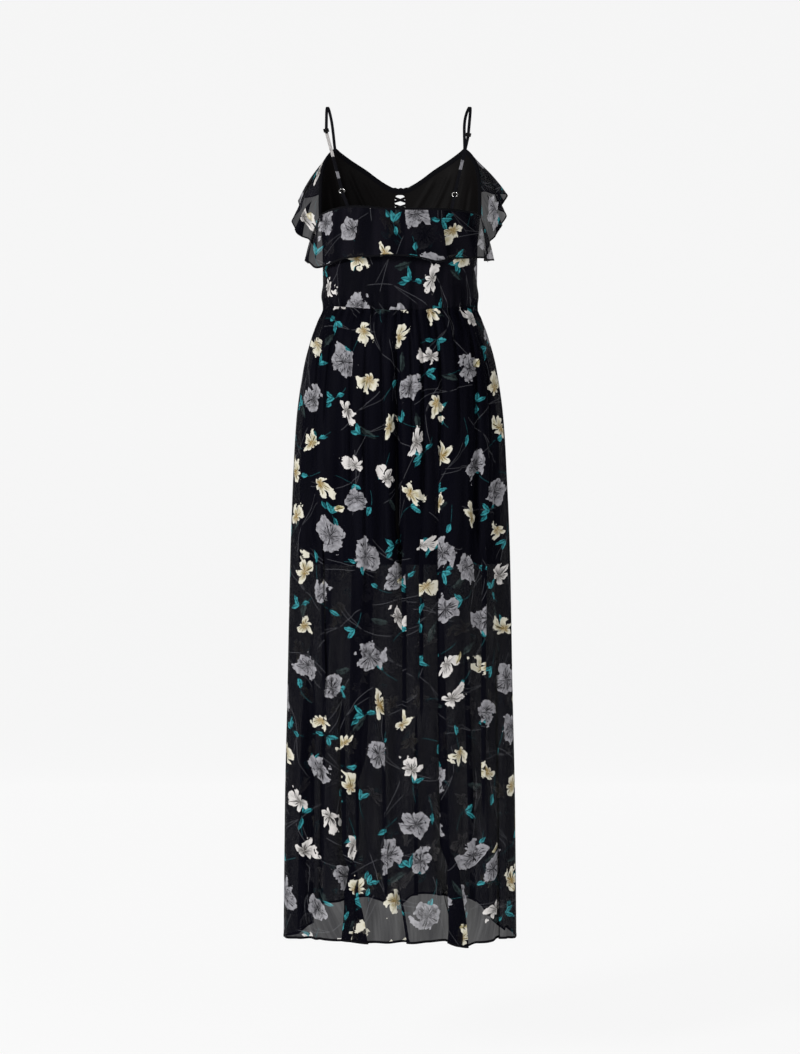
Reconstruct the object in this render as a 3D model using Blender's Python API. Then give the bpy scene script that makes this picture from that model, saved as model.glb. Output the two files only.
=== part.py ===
"""A camisole maxi dress of sheer printed chiffon, hollow and filled out as it is when worn.

Metres, +Z up. The wearer's back faces -Y and their right side faces +X. The origin is midway
between the tops of the two shoulder straps, where the wearer's shoulders hold the dress.
Every cloth piece is a closed wall. The outer pieces follow one body form, given by its sections.
"""

import math
from collections import namedtuple

import bmesh
import bpy
import numpy as np
from mathutils import Vector

# ---------------------------------------------------------------- driving dimensions

CHIFFON = 0.0012  # wall of the outer cloth
GATHERED = 0.0016  # wall where the gathers slant it
LINING = 0.0011  # wall of the bodice lining and the slip
LINING_EASE = 0.0032  # how far the lining hangs in from the bodice between its seams
SEAM = 0.0003  # gap between pieces that are sewn together

WAIST_TOP = -0.328  # where the bodice meets the waist casing at the side seams
WAIST_LOW = -0.342  # where the waist casing meets the skirt at the side seams
WAIST_DIP = 0.014  # how much lower the waist is in the middle of the back
SLIP_TOP = -0.338
SLIP_HEM = -0.776
HEM_BACK = -1.3960
HEM_FRONT = -1.3790

GATHERS = 28  # small gathers across each half at the waist
GATHER_DEPTH = 0.0026
FINE = 4 * GATHERS  # columns where the gathers are sharp
COARSE = FINE // 2

FLOUNCE_WIDTH = 0.086
FLOUNCE_ROUNDS = 0.45  # how much it rounds out between its seam and its hem where it leans
FLOUNCE_PARTS = 0.020  # the front flounce ends this far from the middle
FLOUNCE_STANDS_OFF = 0.0016  # from the bodice's mid wall to the flounce's

KEYHOLE_WIDTH = 0.018
KEYHOLE_TOP = -0.1265
KEYHOLE_LOW = -0.1985
LACE_PITCH = 0.0119  # from one crossing of the laces to the next
LACE_RADIUS = 0.0018

STRAP_WIDTH = 0.0054
STRAP_THICK = 0.0010
STRAP_TURN = 0.0022  # radius of a strap's turn round the ring's wire
RING_RADIUS = 0.0045  # to the middle of the wire
WIRE = 0.0008  # radius of the ring's and the slider's wire
SLIDER_WIDTH = 0.0094
SLIDER_HEIGHT = 0.0078

# The dress's sections from the strap peaks to the hem: half width, the line where it is widest
# (the side seam), how far the back and front reach, and how square each half is (2 is an ellipse).
Section = namedtuple("Section", "z half side_y back_y front_y square_back square_front")
BODY = (
    Section(-0.030, 0.1300, 0.020, -0.084, 0.084, 2.2, 2.2),
    Section(-0.085, 0.1365, 0.020, -0.094, 0.110, 2.2, 2.2),
    Section(-0.130, 0.1375, 0.018, -0.098, 0.121, 2.2, 2.2),
    Section(-0.187, 0.1362, 0.012, -0.101, 0.125, 2.2, 2.2),
    Section(-0.240, 0.1318, 0.005, -0.100, 0.117, 2.2, 2.2),
    Section(-0.300, 0.1306, 0.000, -0.097, 0.103, 2.3, 2.3),
    Section(-0.326, 0.1300, 0.000, -0.095, 0.097, 2.3, 2.3),
    Section(-0.346, 0.1305, 0.000, -0.095, 0.096, 2.3, 2.3),
    Section(-0.362, 0.1385, 0.000, -0.100, 0.101, 2.3, 2.3),
    Section(-0.4046, 0.1535, -0.002, -0.108, 0.109, 2.3, 2.3),
    Section(-0.447, 0.1636, -0.004, -0.1135, 0.115, 2.3, 2.2),
    Section(-0.532, 0.1752, -0.008, -0.1195, 0.125, 2.3, 2.2),
    Section(-0.617, 0.1800, -0.012, -0.1225, 0.132, 2.3, 2.1),
    Section(-0.765, 0.1848, -0.022, -0.1255, 0.143, 2.4, 2.0),
    Section(-1.000, 0.1890, -0.038, -0.1290, 0.156, 2.4, 2.0),
    Section(-1.170, 0.1922, -0.048, -0.1320, 0.163, 2.5, 2.0),
    Section(-1.420, 0.1940, -0.060, -0.1355, 0.171, 2.5, 2.0),
)
SLIP = (
    Section(-0.320, 0.1255, 0.000, -0.0903, 0.0915, 2.3, 2.3),
    Section(-0.345, 0.1255, 0.000, -0.0903, 0.0915, 2.3, 2.3),
    Section(-0.362, 0.1285, 0.000, -0.0906, 0.0930, 2.3, 2.3),
    Section(-0.447, 0.1520, -0.003, -0.0985, 0.101, 2.3, 2.2),
    Section(-0.560, 0.1660, -0.008, -0.1030, 0.110, 2.3, 2.2),
    Section(-0.800, 0.1715, -0.018, -0.1070, 0.121, 2.3, 2.1),
)

# The top edge of the front, from the side seam (0) to the middle (0.5): up the armhole to the
# strap, then down the V neck.
Edge = namedtuple("Edge", "across z")
FRONT_EDGE = (
    Edge(0.000, -0.187),
    Edge(0.021, -0.150),
    Edge(0.042, -0.115),
    Edge(0.068, -0.093),
    Edge(0.100, -0.076),
    Edge(0.130, -0.064),
    Edge(0.154, -0.058),
    Edge(0.185, -0.0625),
    Edge(0.255, -0.0740),
    Edge(0.334, -0.0880),
    Edge(0.400, -0.1033),
    Edge(0.440, -0.1120),
    Edge(0.470, -0.1168),
    Edge(0.500, -0.1178),
)
PEAK = 0.154  # where the strap is sewn to that edge
# The top edge of the back, from the left seam to the right seam. It is lowest in the middle.
BACK_EDGE = (
    Edge(0.00, -0.1870),
    Edge(0.10, -0.1860),
    Edge(0.27, -0.1820),
    Edge(0.50, -0.1900),
    Edge(0.75, -0.1872),
    Edge(0.90, -0.1868),
    Edge(1.00, -0.1870),
)

# Where each strap goes: over the shoulder, through its slider and down to its ring, which hangs
# from a loop sewn to the back edge.
Strap = namedtuple("Strap", "side top_x slider_x slider_z ring_x ring_z loop_x")
STRAPS = (
    Strap(-1, 0.1238, 0.1245, -0.0460, 0.0959, -0.1584, 0.0873),
    Strap(1, 0.1194, 0.1152, -0.0535, 0.0906, -0.1640, 0.0857),
)

# The skirt's large soft folds. across runs from the left seam (0) to the right seam (1) as seen
# from outside that half. A height below 0 is a valley. drift slides the fold across as it falls.
Fold = namedtuple("Fold", "across half_width at_waist at_hip at_hem drift")
BACK_FOLDS = (
    Fold(0.085, 0.040, 0.001, 0.003, 0.005, 0.000),
    Fold(0.165, 0.036, -0.002, -0.006, -0.010, 0.000),
    Fold(0.245, 0.034, 0.001, 0.002, 0.004, 0.000),
    Fold(0.295, 0.026, -0.002, -0.007, -0.013, -0.010),
    Fold(0.362, 0.040, 0.002, 0.005, 0.009, 0.000),
    Fold(0.432, 0.026, -0.002, -0.006, -0.006, 0.000),
    Fold(0.502, 0.034, -0.003, -0.013, -0.010, 0.012),
    Fold(0.560, 0.030, 0.001, 0.004, 0.008, 0.000),
    Fold(0.608, 0.028, -0.003, -0.011, -0.013, 0.012),
    Fold(0.690, 0.044, 0.002, 0.006, 0.016, 0.000),
    Fold(0.742, 0.026, -0.002, -0.009, -0.009, 0.008),
    Fold(0.800, 0.030, 0.001, 0.003, 0.005, 0.000),
    Fold(0.858, 0.032, -0.002, -0.008, -0.008, -0.006),
    Fold(0.925, 0.040, 0.001, 0.004, 0.005, 0.000),
)
FRONT_FOLDS = (
    Fold(0.090, 0.044, 0.001, 0.004, 0.006, 0.000),
    Fold(0.170, 0.036, -0.002, -0.008, -0.012, 0.006),
    Fold(0.255, 0.044, 0.001, 0.005, 0.009, 0.000),
    Fold(0.345, 0.038, -0.002, -0.008, -0.010, 0.000),
    Fold(0.430, 0.044, 0.001, 0.005, 0.009, 0.000),
    Fold(0.515, 0.036, -0.002, -0.009, -0.012, -0.008),
    Fold(0.600, 0.044, 0.001, 0.005, 0.010, 0.000),
    Fold(0.685, 0.036, -0.002, -0.008, -0.010, 0.006),
    Fold(0.765, 0.042, 0.001, 0.004, 0.008, 0.000),
    Fold(0.845, 0.036, -0.002, -0.008, -0.011, -0.006),
    Fold(0.920, 0.040, 0.001, 0.004, 0.006, 0.000),
)

# Ruffle waves at the flounce's hem, along its sewn edge; + stands out.
Wave = namedtuple("Wave", "along half_width height")
BACK_WAVES = (
    Wave(0.070, 0.070, 0.006),
    Wave(0.190, 0.070, -0.005),
    Wave(0.330, 0.090, 0.004),
    Wave(0.500, 0.100, -0.004),
    Wave(0.640, 0.070, 0.004),
    Wave(0.745, 0.060, -0.009),
    Wave(0.850, 0.055, 0.008),
    Wave(0.935, 0.045, -0.006),
)
FRONT_WAVES = (
    Wave(0.055, 0.050, -0.006),
    Wave(0.150, 0.050, -0.004),
    Wave(0.245, 0.055, 0.010),
    Wave(0.345, 0.050, -0.016),
    Wave(0.445, 0.055, 0.012),
    Wave(0.540, 0.050, -0.010),
    Wave(0.640, 0.060, 0.010),
    Wave(0.750, 0.060, -0.009),
    Wave(0.870, 0.070, 0.009),
)
# How far the flounce leans out from straight down, along its sewn edge.
Lean = namedtuple("Lean", "along degrees")
BACK_LEAN = (
    Lean(0.0, 15),
    Lean(0.12, 9),
    Lean(0.27, 6),
    Lean(0.5, 14),
    Lean(0.75, 9),
    Lean(0.88, 9),
    Lean(1.0, 15),
)
FRONT_LEAN = (
    Lean(0.0, 13),
    Lean(0.12, 16),
    Lean(0.24, 32),
    Lean(0.36, 37),
    Lean(0.48, 40),
    Lean(0.58, 40),
    Lean(0.70, 26),
    Lean(1.0, 12),
)


# ---------------------------------------------------------------- scene and materials


def clear_scene():
    """Empty the file that the script starts in."""
    for thing in list(bpy.data.objects):
        bpy.data.objects.remove(thing, do_unlink=True)


def material(name, colour, roughness, metallic=0.0, alpha=1.0):
    """One finish as a Principled BSDF."""
    made = bpy.data.materials.new(name)
    made.use_nodes = True
    shader = made.node_tree.nodes["Principled BSDF"]
    shader.inputs["Base Color"].default_value = (*colour, 1.0)
    shader.inputs["Roughness"].default_value = roughness
    shader.inputs["Metallic"].default_value = metallic
    shader.inputs["Alpha"].default_value = alpha
    return made


# ---------------------------------------------------------------- curves through the tables


def column(table, name):
    """One named column of a table."""
    return np.array([getattr(row, name) for row in table], float)


def smooth(xs, ys, x):
    """A curve through a table's points with no overshoot, read at x."""
    if xs[0] > xs[-1]:
        xs, ys = xs[::-1], ys[::-1]
    steps = np.diff(ys) / np.diff(xs)
    slopes = np.zeros(len(xs))
    both = steps[:-1] * steps[1:] > 0
    slopes[1:-1][both] = 2 / (1 / steps[:-1][both] + 1 / steps[1:][both])
    slopes[0], slopes[-1] = steps[0], steps[-1]
    x = np.clip(x, xs[0], xs[-1])
    i = np.clip(np.searchsorted(xs, x) - 1, 0, len(xs) - 2)
    width = xs[i + 1] - xs[i]
    t = (x - xs[i]) / width
    ends = (1 + 2 * t) * (1 - t) ** 2 * ys[i] + t * t * (3 - 2 * t) * ys[i + 1]
    return ends + width * (t * (1 - t) ** 2 * slopes[i] - t * t * (1 - t) * slopes[i + 1])


def bump(distance, half_width):
    """1 at the middle of a fold, falling smoothly to 0 at half_width on each side."""
    return np.cos(np.pi / 2 * np.clip(distance / half_width, -1, 1)) ** 2


# ---------------------------------------------------------------- the body form


def half_section(table, z, half):
    """A fine line round one half of the section at z, from the seam on the viewer's left."""
    width, side = (smooth(column(table, "z"), column(table, n), z) for n in ("half", "side_y"))
    reach = smooth(column(table, "z"), column(table, f"{half}_y"), z)
    power = 2 / smooth(column(table, "z"), column(table, f"square_{half}"), z)
    angle = np.linspace(0, np.pi, 361)
    away = np.sin(angle)
    left = -1 if half == "back" else 1
    x = left * width * np.sign(np.cos(angle)) * np.abs(np.cos(angle)) ** power
    return np.column_stack([x, side + (reach - side) * away**power])


def along(line, share, margin=0.0):
    """Points at shares of a line's length, with the given margin kept clear at both ends."""
    steps = np.linalg.norm(np.diff(line, axis=0), axis=1)
    run = np.concatenate([[0], np.cumsum(steps)])
    at = margin + np.asarray(share) * (run[-1] - 2 * margin)
    return np.column_stack([np.interp(at, run, line[:, k]) for k in range(line.shape[1])])


def form_point(table, half, across, z):
    """A point of the body form and its outward direction, both in plan."""
    line = half_section(table, z, half)
    before, here, after = along(line, [across - 0.004, across, across + 0.004], SEAM / 2)
    run = after - before
    out = np.array([run[1], -run[0]])
    return here, out / np.linalg.norm(out)


def across_at(table, half, x, z):
    """The share across one half at which the form is x from the middle, on the viewer's left."""
    line = half_section(table, z, half)
    run = np.concatenate([[0], np.cumsum(np.linalg.norm(np.diff(line, axis=0), axis=1))])
    return float(np.interp(-x, -np.abs(line[:181, 0]), run[:181])) / run[-1]


def folds(table, across, z):
    """How far the skirt's large folds stand out from the body form."""
    fall = (WAIST_LOW - z) / (WAIST_LOW - HEM_BACK)
    total = 0.0
    for fold in table:
        height = smooth(
            np.array([0.0, 0.12, 0.35, 1.0]),
            np.array([0.0, fold.at_waist, fold.at_hip, fold.at_hem]),
            fall,
        )
        total += height * bump(across - fold.across - fold.drift * fall, fold.half_width)
    return total


def gathers(share, near):
    """The even small gathers of a waist seam; near is 1 at the seam and 0 where they end."""
    return -GATHER_DEPTH * near * math.cos(2 * math.pi * GATHERS * share)


def front_edge(across):
    """The height of the front's top edge."""
    return smooth(column(FRONT_EDGE, "across"), column(FRONT_EDGE, "z"), min(across, 1 - across))


def back_edge(across):
    """The height of the back's top edge."""
    return smooth(column(BACK_EDGE, "across"), column(BACK_EDGE, "z"), across)


def waist_dip(half, across):
    """How much lower the waist is here than at the side seams."""
    return WAIST_DIP * math.sin(math.pi * across) ** 2 if half == "back" else 0.0


def level(half, across, z):
    """The height at which the form is read, so that its narrow waist follows the dip."""
    return z + waist_dip(half, across) * bump(z - WAIST_LOW, 0.10)


# ---------------------------------------------------------------- closed walls


def cloth_wall(name, point, rows, finish):
    """A closed wall of cloth.

    point(share, v) gives the middle of the wall, its outward direction and its thickness. rows
    lists (v, columns) from the top edge down. A row may have half the columns of the one above.
    """
    mesh = bmesh.new()
    layers = []
    for side in (0.5, -0.5):
        layer = []
        for v, columns in rows:
            line = []
            for i in range(columns + 1):
                middle, out, wall = point(i / columns, v)
                line.append(mesh.verts.new(Vector(middle) + Vector(out) * side * wall))
            layer.append(line)
        layers.append(layer)
    outer, inner = layers
    for layer, turned in ((outer, False), (inner, True)):
        for top, low in zip(layer, layer[1:]):
            for corners in strip(top, low):
                mesh.faces.new(corners[::-1] if turned else corners)
    close_edge(mesh, outer[0], inner[0])
    close_edge(mesh, inner[-1], outer[-1])
    close_edge(mesh, [row[0] for row in inner], [row[0] for row in outer])
    close_edge(mesh, [row[-1] for row in outer], [row[-1] for row in inner])
    return finished(name, mesh, finish)


def strip(top, low):
    """The triangles between two rows of points; either may have twice the other's columns."""
    if len(low) > len(top):
        for a, b, c in strip(low, top):
            yield c, b, a
        return
    step = (len(top) - 1) // (len(low) - 1)
    for i in range(len(low) - 1):
        a, b = low[i], low[i + 1]
        above = top[step * i : step * i + step + 1]
        if step == 1:
            yield a, b, above[0]
            yield b, above[1], above[0]
        else:
            yield a, above[1], above[0]
            yield a, b, above[1]
            yield b, above[2], above[1]


def close_edge(mesh, outer, inner):
    """The narrow faces that join the two layers along one edge."""
    for i in range(len(outer) - 1):
        mesh.faces.new((outer[i], outer[i + 1], inner[i + 1]))
        mesh.faces.new((outer[i], inner[i + 1], inner[i]))


def finished(name, mesh, finish):
    """The mesh as a named object whose faces point out."""
    bmesh.ops.recalc_face_normals(mesh, faces=mesh.faces[:])
    data = bpy.data.meshes.new(name)
    mesh.to_mesh(data)
    mesh.free()
    data.materials.append(finish)
    data.shade_smooth()
    data.set_sharp_from_angle(angle=math.radians(60))
    made = bpy.data.objects.new(name, data)
    bpy.context.collection.objects.link(made)
    return made


def on_form(table, half, across, z, out_by, wall):
    """A wall's middle, direction and thickness at a place on the body form."""
    here, out = form_point(table, half, across, level(half, across, z))
    place = here + out * out_by
    return (place[0], place[1], z), (out[0], out[1], 0.0), wall


# ---------------------------------------------------------------- bodice, casing and skirt


def bodice(half, finish):
    """One half of the chiffon bodice. The front's columns crowd towards the armholes."""
    edge, crowd = (back_edge, 0.0) if half == "back" else (front_edge, 0.62)

    def point(share, v):
        across = share - crowd * (1 - v) * math.sin(2 * math.pi * share) / (2 * math.pi)
        waist = WAIST_TOP - waist_dip(half, across)
        z = edge(across) * (1 - v) + (waist + SEAM / 2) * v
        near = max(0.0, 1 - (z - waist) / 0.034) ** 2
        blouse = 0.0018 * bump(z - waist - 0.028, 0.028)
        wall = CHIFFON + (GATHERED - CHIFFON) * near
        return on_form(BODY, half, across, z, gathers(share, near) + blouse, wall)

    rows = [(v, COARSE) for v in (0.0, 0.3, 0.6, 0.86)] + [(1.0, FINE)]
    return cloth_wall(f"bodice_{half}", point, rows, finish)


def waist_casing(half, finish):
    """One half of the gathered casing that holds the waist elastic."""

    def point(share, v):
        z = WAIST_TOP - waist_dip(half, share) - SEAM / 2 + (WAIST_LOW - WAIST_TOP + SEAM) * v
        return on_form(BODY, half, share, z, gathers(share, 1.0), GATHERED)

    return cloth_wall(f"waist_casing_{half}", point, [(0.0, FINE), (1.0, FINE)], finish)


def skirt(half, finish):
    """One half of the skirt: gathers at the waist that run into large soft folds."""
    table = BACK_FOLDS if half == "back" else FRONT_FOLDS
    middle = HEM_BACK if half == "back" else HEM_FRONT

    def point(share, v):
        hem = HEM_BACK + (middle - HEM_BACK) * math.sin(math.pi * share) ** 2
        z = (WAIST_LOW - waist_dip(half, share) - SEAM / 2) * (1 - v) + hem * v
        near = max(0.0, 1 - v / 0.12) ** 2
        wall = CHIFFON + (GATHERED - CHIFFON) * near
        return on_form(BODY, half, share, z, gathers(share, near) + folds(table, share, z), wall)

    rows = [(v, FINE) for v in (0.0, 0.016, 0.045)]
    rows += [(v, COARSE) for v in (0.09, 0.16, 0.27, 0.42, 0.60, 0.80, 1.0)]
    return cloth_wall(f"skirt_{half}", point, rows, finish)


# ---------------------------------------------------------------- linings


def bodice_lining(half, finish):
    """One half of the opaque lining, just inside the bodice."""
    edge, crowd = (back_edge, 0.0) if half == "back" else (front_edge, 0.62)
    top_in = (CHIFFON + LINING) / 2 + SEAM

    def point(share, v):
        across = share - crowd * (1 - v) * math.sin(2 * math.pi * share) / (2 * math.pi)
        z = edge(across) * (1 - v) + (SLIP_TOP + SEAM / 2) * v
        low_in = GATHER_DEPTH + (GATHERED + LINING) / 2 + 2 * SEAM
        inside = top_in + (low_in - top_in) * v + LINING_EASE * math.sqrt(math.sin(math.pi * v))
        return on_form(BODY, half, across, z, -inside, LINING)

    columns = 28 if half == "back" else 36
    rows = [(v, columns) for v in (0.0, 0.3, 0.6, 0.84, 0.94, 1.0)]
    return cloth_wall(f"lining_bodice_{half}", point, rows, finish)


def slip(half, finish):
    """One half of the short opaque slip under the skirt."""

    def point(share, v):
        z = (SLIP_TOP - SEAM / 2) * (1 - v) + SLIP_HEM * v
        return on_form(SLIP, half, share, z, 0.0, LINING)

    rows = [(v, 28) for v in (0.0, 0.025, 0.1, 0.3, 0.6, 1.0)]
    return cloth_wall(f"slip_{half}", point, rows, finish)


# ---------------------------------------------------------------- flounce


def sewn_edge(half, start, end):
    """The line where the flounce is sewn to the bodice, with its outward direction in plan."""
    edge = back_edge if half == "back" else front_edge
    line = []
    for across in np.linspace(start, end, 161):
        here, out = form_point(BODY, half, across, edge(across))
        place = here + out * FLOUNCE_STANDS_OFF
        line.append((place[0], place[1], edge(across), out[0], out[1]))
    return np.array(line)


def flounce(name, half, start, end, waves, leans, columns, finish):
    """A stretch of the flounce, from start to end across that half of the bodice's top edge."""
    line = sewn_edge(half, start, end)
    run = np.concatenate([[0], np.cumsum(np.linalg.norm(np.diff(line[:, :3], axis=0), axis=1))])
    length = run[-1]
    turned = -1 if end < start else 1

    def flat(share, v):
        """The flounce before its waves."""
        at = SEAM / 2 + np.clip(share, 0, 1) * (length - SEAM)
        x, y, z, out_x, out_y = (np.interp(at, run, line[:, k]) for k in range(5))
        out = np.array([out_x, out_y, 0.0]) / math.hypot(out_x, out_y)
        lean = math.radians(smooth(column(leans, "along"), column(leans, "degrees"), share))
        rounded = v * (1 + FLOUNCE_ROUNDS * (1 - v))
        fall = out * math.sin(lean) * rounded - np.array([0, 0, 1]) * math.cos(lean) * v
        return np.array([x, y, z]) + fall * FLOUNCE_WIDTH

    def point(share, v):
        here = flat(share, v)
        sideways = flat(min(share + 0.006, 1), v) - flat(max(share - 0.006, 0), v)
        down = flat(share, v + 0.01) - flat(share, v - 0.01)
        out = np.cross(down, sideways) * turned
        out /= np.linalg.norm(out)
        wave = sum(w.height * bump(share - w.along, w.half_width) for w in waves)
        return here + out * wave * v**1.4, out, CHIFFON

    rows = [(v, columns) for v in (0.0, 0.33, 0.66, 1.0)]
    return cloth_wall(name, point, rows, finish)


# ---------------------------------------------------------------- keyhole and laces


def keyhole_cutter():
    """A slot with round ends that runs through the front's middle."""
    mesh = bmesh.new()
    half = KEYHOLE_WIDTH / 2
    outline = []
    for middle, start in ((KEYHOLE_TOP - half, 0), (KEYHOLE_LOW + half, math.pi)):
        for step in range(9):
            angle = start + math.pi * step / 8
            outline.append((half * math.cos(angle), middle + half * math.sin(angle)))
    ring = [mesh.verts.new((x, 0.06, z)) for x, z in outline]
    face = mesh.faces.new(ring)
    pushed = bmesh.ops.extrude_face_region(mesh, geom=[face])["geom"]
    corners = [item for item in pushed if isinstance(item, bmesh.types.BMVert)]
    bmesh.ops.translate(mesh, verts=corners, vec=(0, 0.12, 0))
    cutter = finished("keyhole_cutter", mesh, bpy.data.materials[0])
    cutter.hide_render = True
    cutter.display_type = "WIRE"
    return cutter


def cut(piece, cutter):
    """Cut the cutter's shape through a piece."""
    modifier = piece.modifiers.new("keyhole", "BOOLEAN")
    modifier.operation = "DIFFERENCE"
    modifier.solver = "EXACT"
    modifier.object = cutter


def lace(name, side, finish):
    """One of the two laces that zigzag down the keyhole, crossing the other."""
    reach = KEYHOLE_WIDTH / 2 + 0.0035
    clear = CHIFFON / 2 + LACE_RADIUS + 4 * SEAM
    turns = int((KEYHOLE_TOP - KEYHOLE_LOW) / LACE_PITCH - 0.5)
    points = []
    for turn in range(turns + 1):
        z = KEYHOLE_TOP - LACE_PITCH / 2 - LACE_PITCH * turn
        front = form_point(BODY, "front", 0.5, z)[0][1]
        over = side * (1 if turn % 2 == 0 else -1)
        points.append((over * reach, front + clear, z))
        if turn < turns:
            lift = clear + 4 * SEAM if over > 0 else clear + 2 * SEAM - 2 * LACE_RADIUS
            points.append((0.0, front + lift, z - LACE_PITCH / 2))
    return tube(name, points, LACE_RADIUS, 6, finish)


def tube(name, points, radius, sides, finish):
    """A round cord through the given points."""
    curve = bpy.data.curves.new(name, "CURVE")
    curve.dimensions = "3D"
    curve.bevel_depth = radius
    curve.bevel_resolution = (sides - 4) // 2
    curve.use_fill_caps = True
    spline = curve.splines.new("POLY")
    spline.points.add(len(points) - 1)
    for spot, place in zip(spline.points, points):
        spot.co = (*place, 1.0)
    curve.materials.append(finish)
    made = bpy.data.objects.new(name, curve)
    bpy.context.collection.objects.link(made)
    return made


# ---------------------------------------------------------------- straps and their hardware


def strap_places(row):
    """One strap's places and the three directions of its back: down, outward and wide."""
    here, _ = form_point(BODY, "front", PEAK, front_edge(PEAK))
    loop_across = across_at(BODY, "back", row.loop_x, back_edge(0.5))
    loop_top = back_edge(loop_across if row.side < 0 else 1 - loop_across)
    there, _ = form_point(BODY, "back", loop_across, loop_top)
    inside = (CHIFFON + LINING) / 2 + SEAM
    side = row.side
    spots = {
        "peak": Vector((side * abs(here[0]), here[1] - 0.0008, front_edge(PEAK) + SEAM)),
        "top": Vector((side * row.top_x, 0.0, 0.0)),
        "slider": Vector((side * row.slider_x, -0.024, row.slider_z)),
        "ring": Vector((side * row.ring_x, -0.0880, row.ring_z)),
        "edge": Vector((side * row.loop_x, there[1] + inside / 2, loop_top + SEAM + 0.0003)),
    }
    down = (spots["ring"] - spots["slider"]).normalized()
    outward = down.cross(Vector((1, 0, 0))).normalized()
    return spots, down, outward, outward.cross(down)


def sided(name, side):
    """The node's name for the wearer's left or right."""
    return f"{name}_right" if side > 0 else f"{name}_left"


def half_turn(centre, outward, down):
    """The points of a strap's half turn round a wire, starting on its outer side."""
    angles = [math.pi * step / 6 for step in range(7)]
    return [centre + (outward * math.cos(a) + down * math.sin(a)) * STRAP_TURN for a in angles]


def band(name, path, widths, thick, finish):
    """A flat band swept along a path; widths gives the direction of its width at each point."""
    mesh = bmesh.new()
    rings = []
    for i, place in enumerate(path):
        ahead = (path[min(i + 1, len(path) - 1)] - path[max(i - 1, 0)]).normalized()
        wide = widths[i] - ahead * widths[i].dot(ahead)
        wide.normalize()
        flat = ahead.cross(wide)
        corners = [(-1, -1), (1, -1), (1, 1), (-1, 1)]
        offsets = [wide * a * STRAP_WIDTH / 2 + flat * b * thick / 2 for a, b in corners]
        rings.append([mesh.verts.new(place + offset) for offset in offsets])
    for one, two in zip(rings, rings[1:]):
        for k in range(4):
            mesh.faces.new((one[k], one[k - 3], two[k - 3], two[k]))
    mesh.faces.new(rings[0][::-1])
    mesh.faces.new(rings[-1])
    bmesh.ops.triangulate(mesh, faces=mesh.faces[:])
    return finished(name, mesh, finish)


def curve_through(places, count):
    """Evenly spaced points on a smooth curve through the given places."""
    padded = [places[0] * 2 - places[1], *places, places[-1] * 2 - places[-2]]
    fine = []
    for a, b, c, d in zip(padded, padded[1:], padded[2:], padded[3:]):
        for step in range(24):
            t = step / 24
            fine.append(
                0.5 * (2 * b + (c - a) * t + (2 * a - 5 * b + 4 * c - d) * t * t)
                + 0.5 * (3 * b - a - 3 * c + d) * t**3
            )
    fine.append(places[-1])
    return [Vector(p) for p in along(np.array(fine), np.linspace(0, 1, count))]


def strap(row, finish):
    """A strap: up from the front, over the shoulder, through the slider to the ring and back."""
    spots, down, outward, wide = strap_places(row)
    centre = spots["ring"] - down * (RING_RADIUS - SEAM)
    outer_end = centre + outward * STRAP_TURN
    inner_end = centre - outward * STRAP_TURN
    arched = spots["peak"].lerp(spots["top"], 0.55) + Vector((row.side * 0.001, 0.006, 0.012))
    path = curve_through([spots["peak"], arched, spots["top"], spots["slider"]], 17)
    run = spots["slider"].lerp(outer_end, 0.5)
    path += [run, outer_end - down * 0.012, outer_end - down * 0.003]
    path += half_turn(centre, outward, down)
    under = outward * (STRAP_THICK + 2 * SEAM)
    path += [inner_end - down * 0.003, outer_end - down * 0.016 - under, run - under]
    path += [spots["slider"] + down * 0.003 - under]
    widths = []
    for place in path:
        twist = max(0.0, min(1.0, (place.z - spots["slider"].z) / 0.03))
        widths.append(wide.lerp(Vector((row.side * wide.x, 0.25, 0.0)) * row.side, twist))
    return band(sided("strap", row.side), path, widths, STRAP_THICK, finish)


def ring(row, finish):
    """The ring between a strap and its loop at the back edge."""
    spots, _, outward, _ = strap_places(row)
    bpy.ops.mesh.primitive_torus_add(
        major_radius=RING_RADIUS, minor_radius=WIRE, major_segments=18, minor_segments=5
    )
    made = bpy.context.object
    made.name = made.data.name = sided("ring", row.side)
    made.data.transform(outward.to_track_quat("Z", "Y").to_matrix().to_4x4())
    made.location = spots["ring"]
    made.data.materials.append(finish)
    made.data.shade_smooth()
    return made


def ring_loop(row, finish):
    """The short loop that holds the ring to the back edge: up, through the ring and down."""
    spots, down, outward, wide = strap_places(row)
    centre = spots["ring"] + down * (RING_RADIUS - SEAM)
    apart, up = Vector((0, -0.0009, 0)), Vector((0, 0, 0.002))
    foot, low = spots["edge"], centre + down * 0.004
    leg = outward * STRAP_TURN * 0.8
    path = [foot + apart, foot + apart + up, low + leg]
    path += half_turn(centre, outward, -down)
    path += [low - leg, foot - apart + up, foot - apart]
    level = [Vector((1, 0, 0))] * 2
    widths = level + [wide] * (len(path) - 4) + level
    return band(sided("ring_loop", row.side), path, widths, STRAP_THICK, finish)


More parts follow.
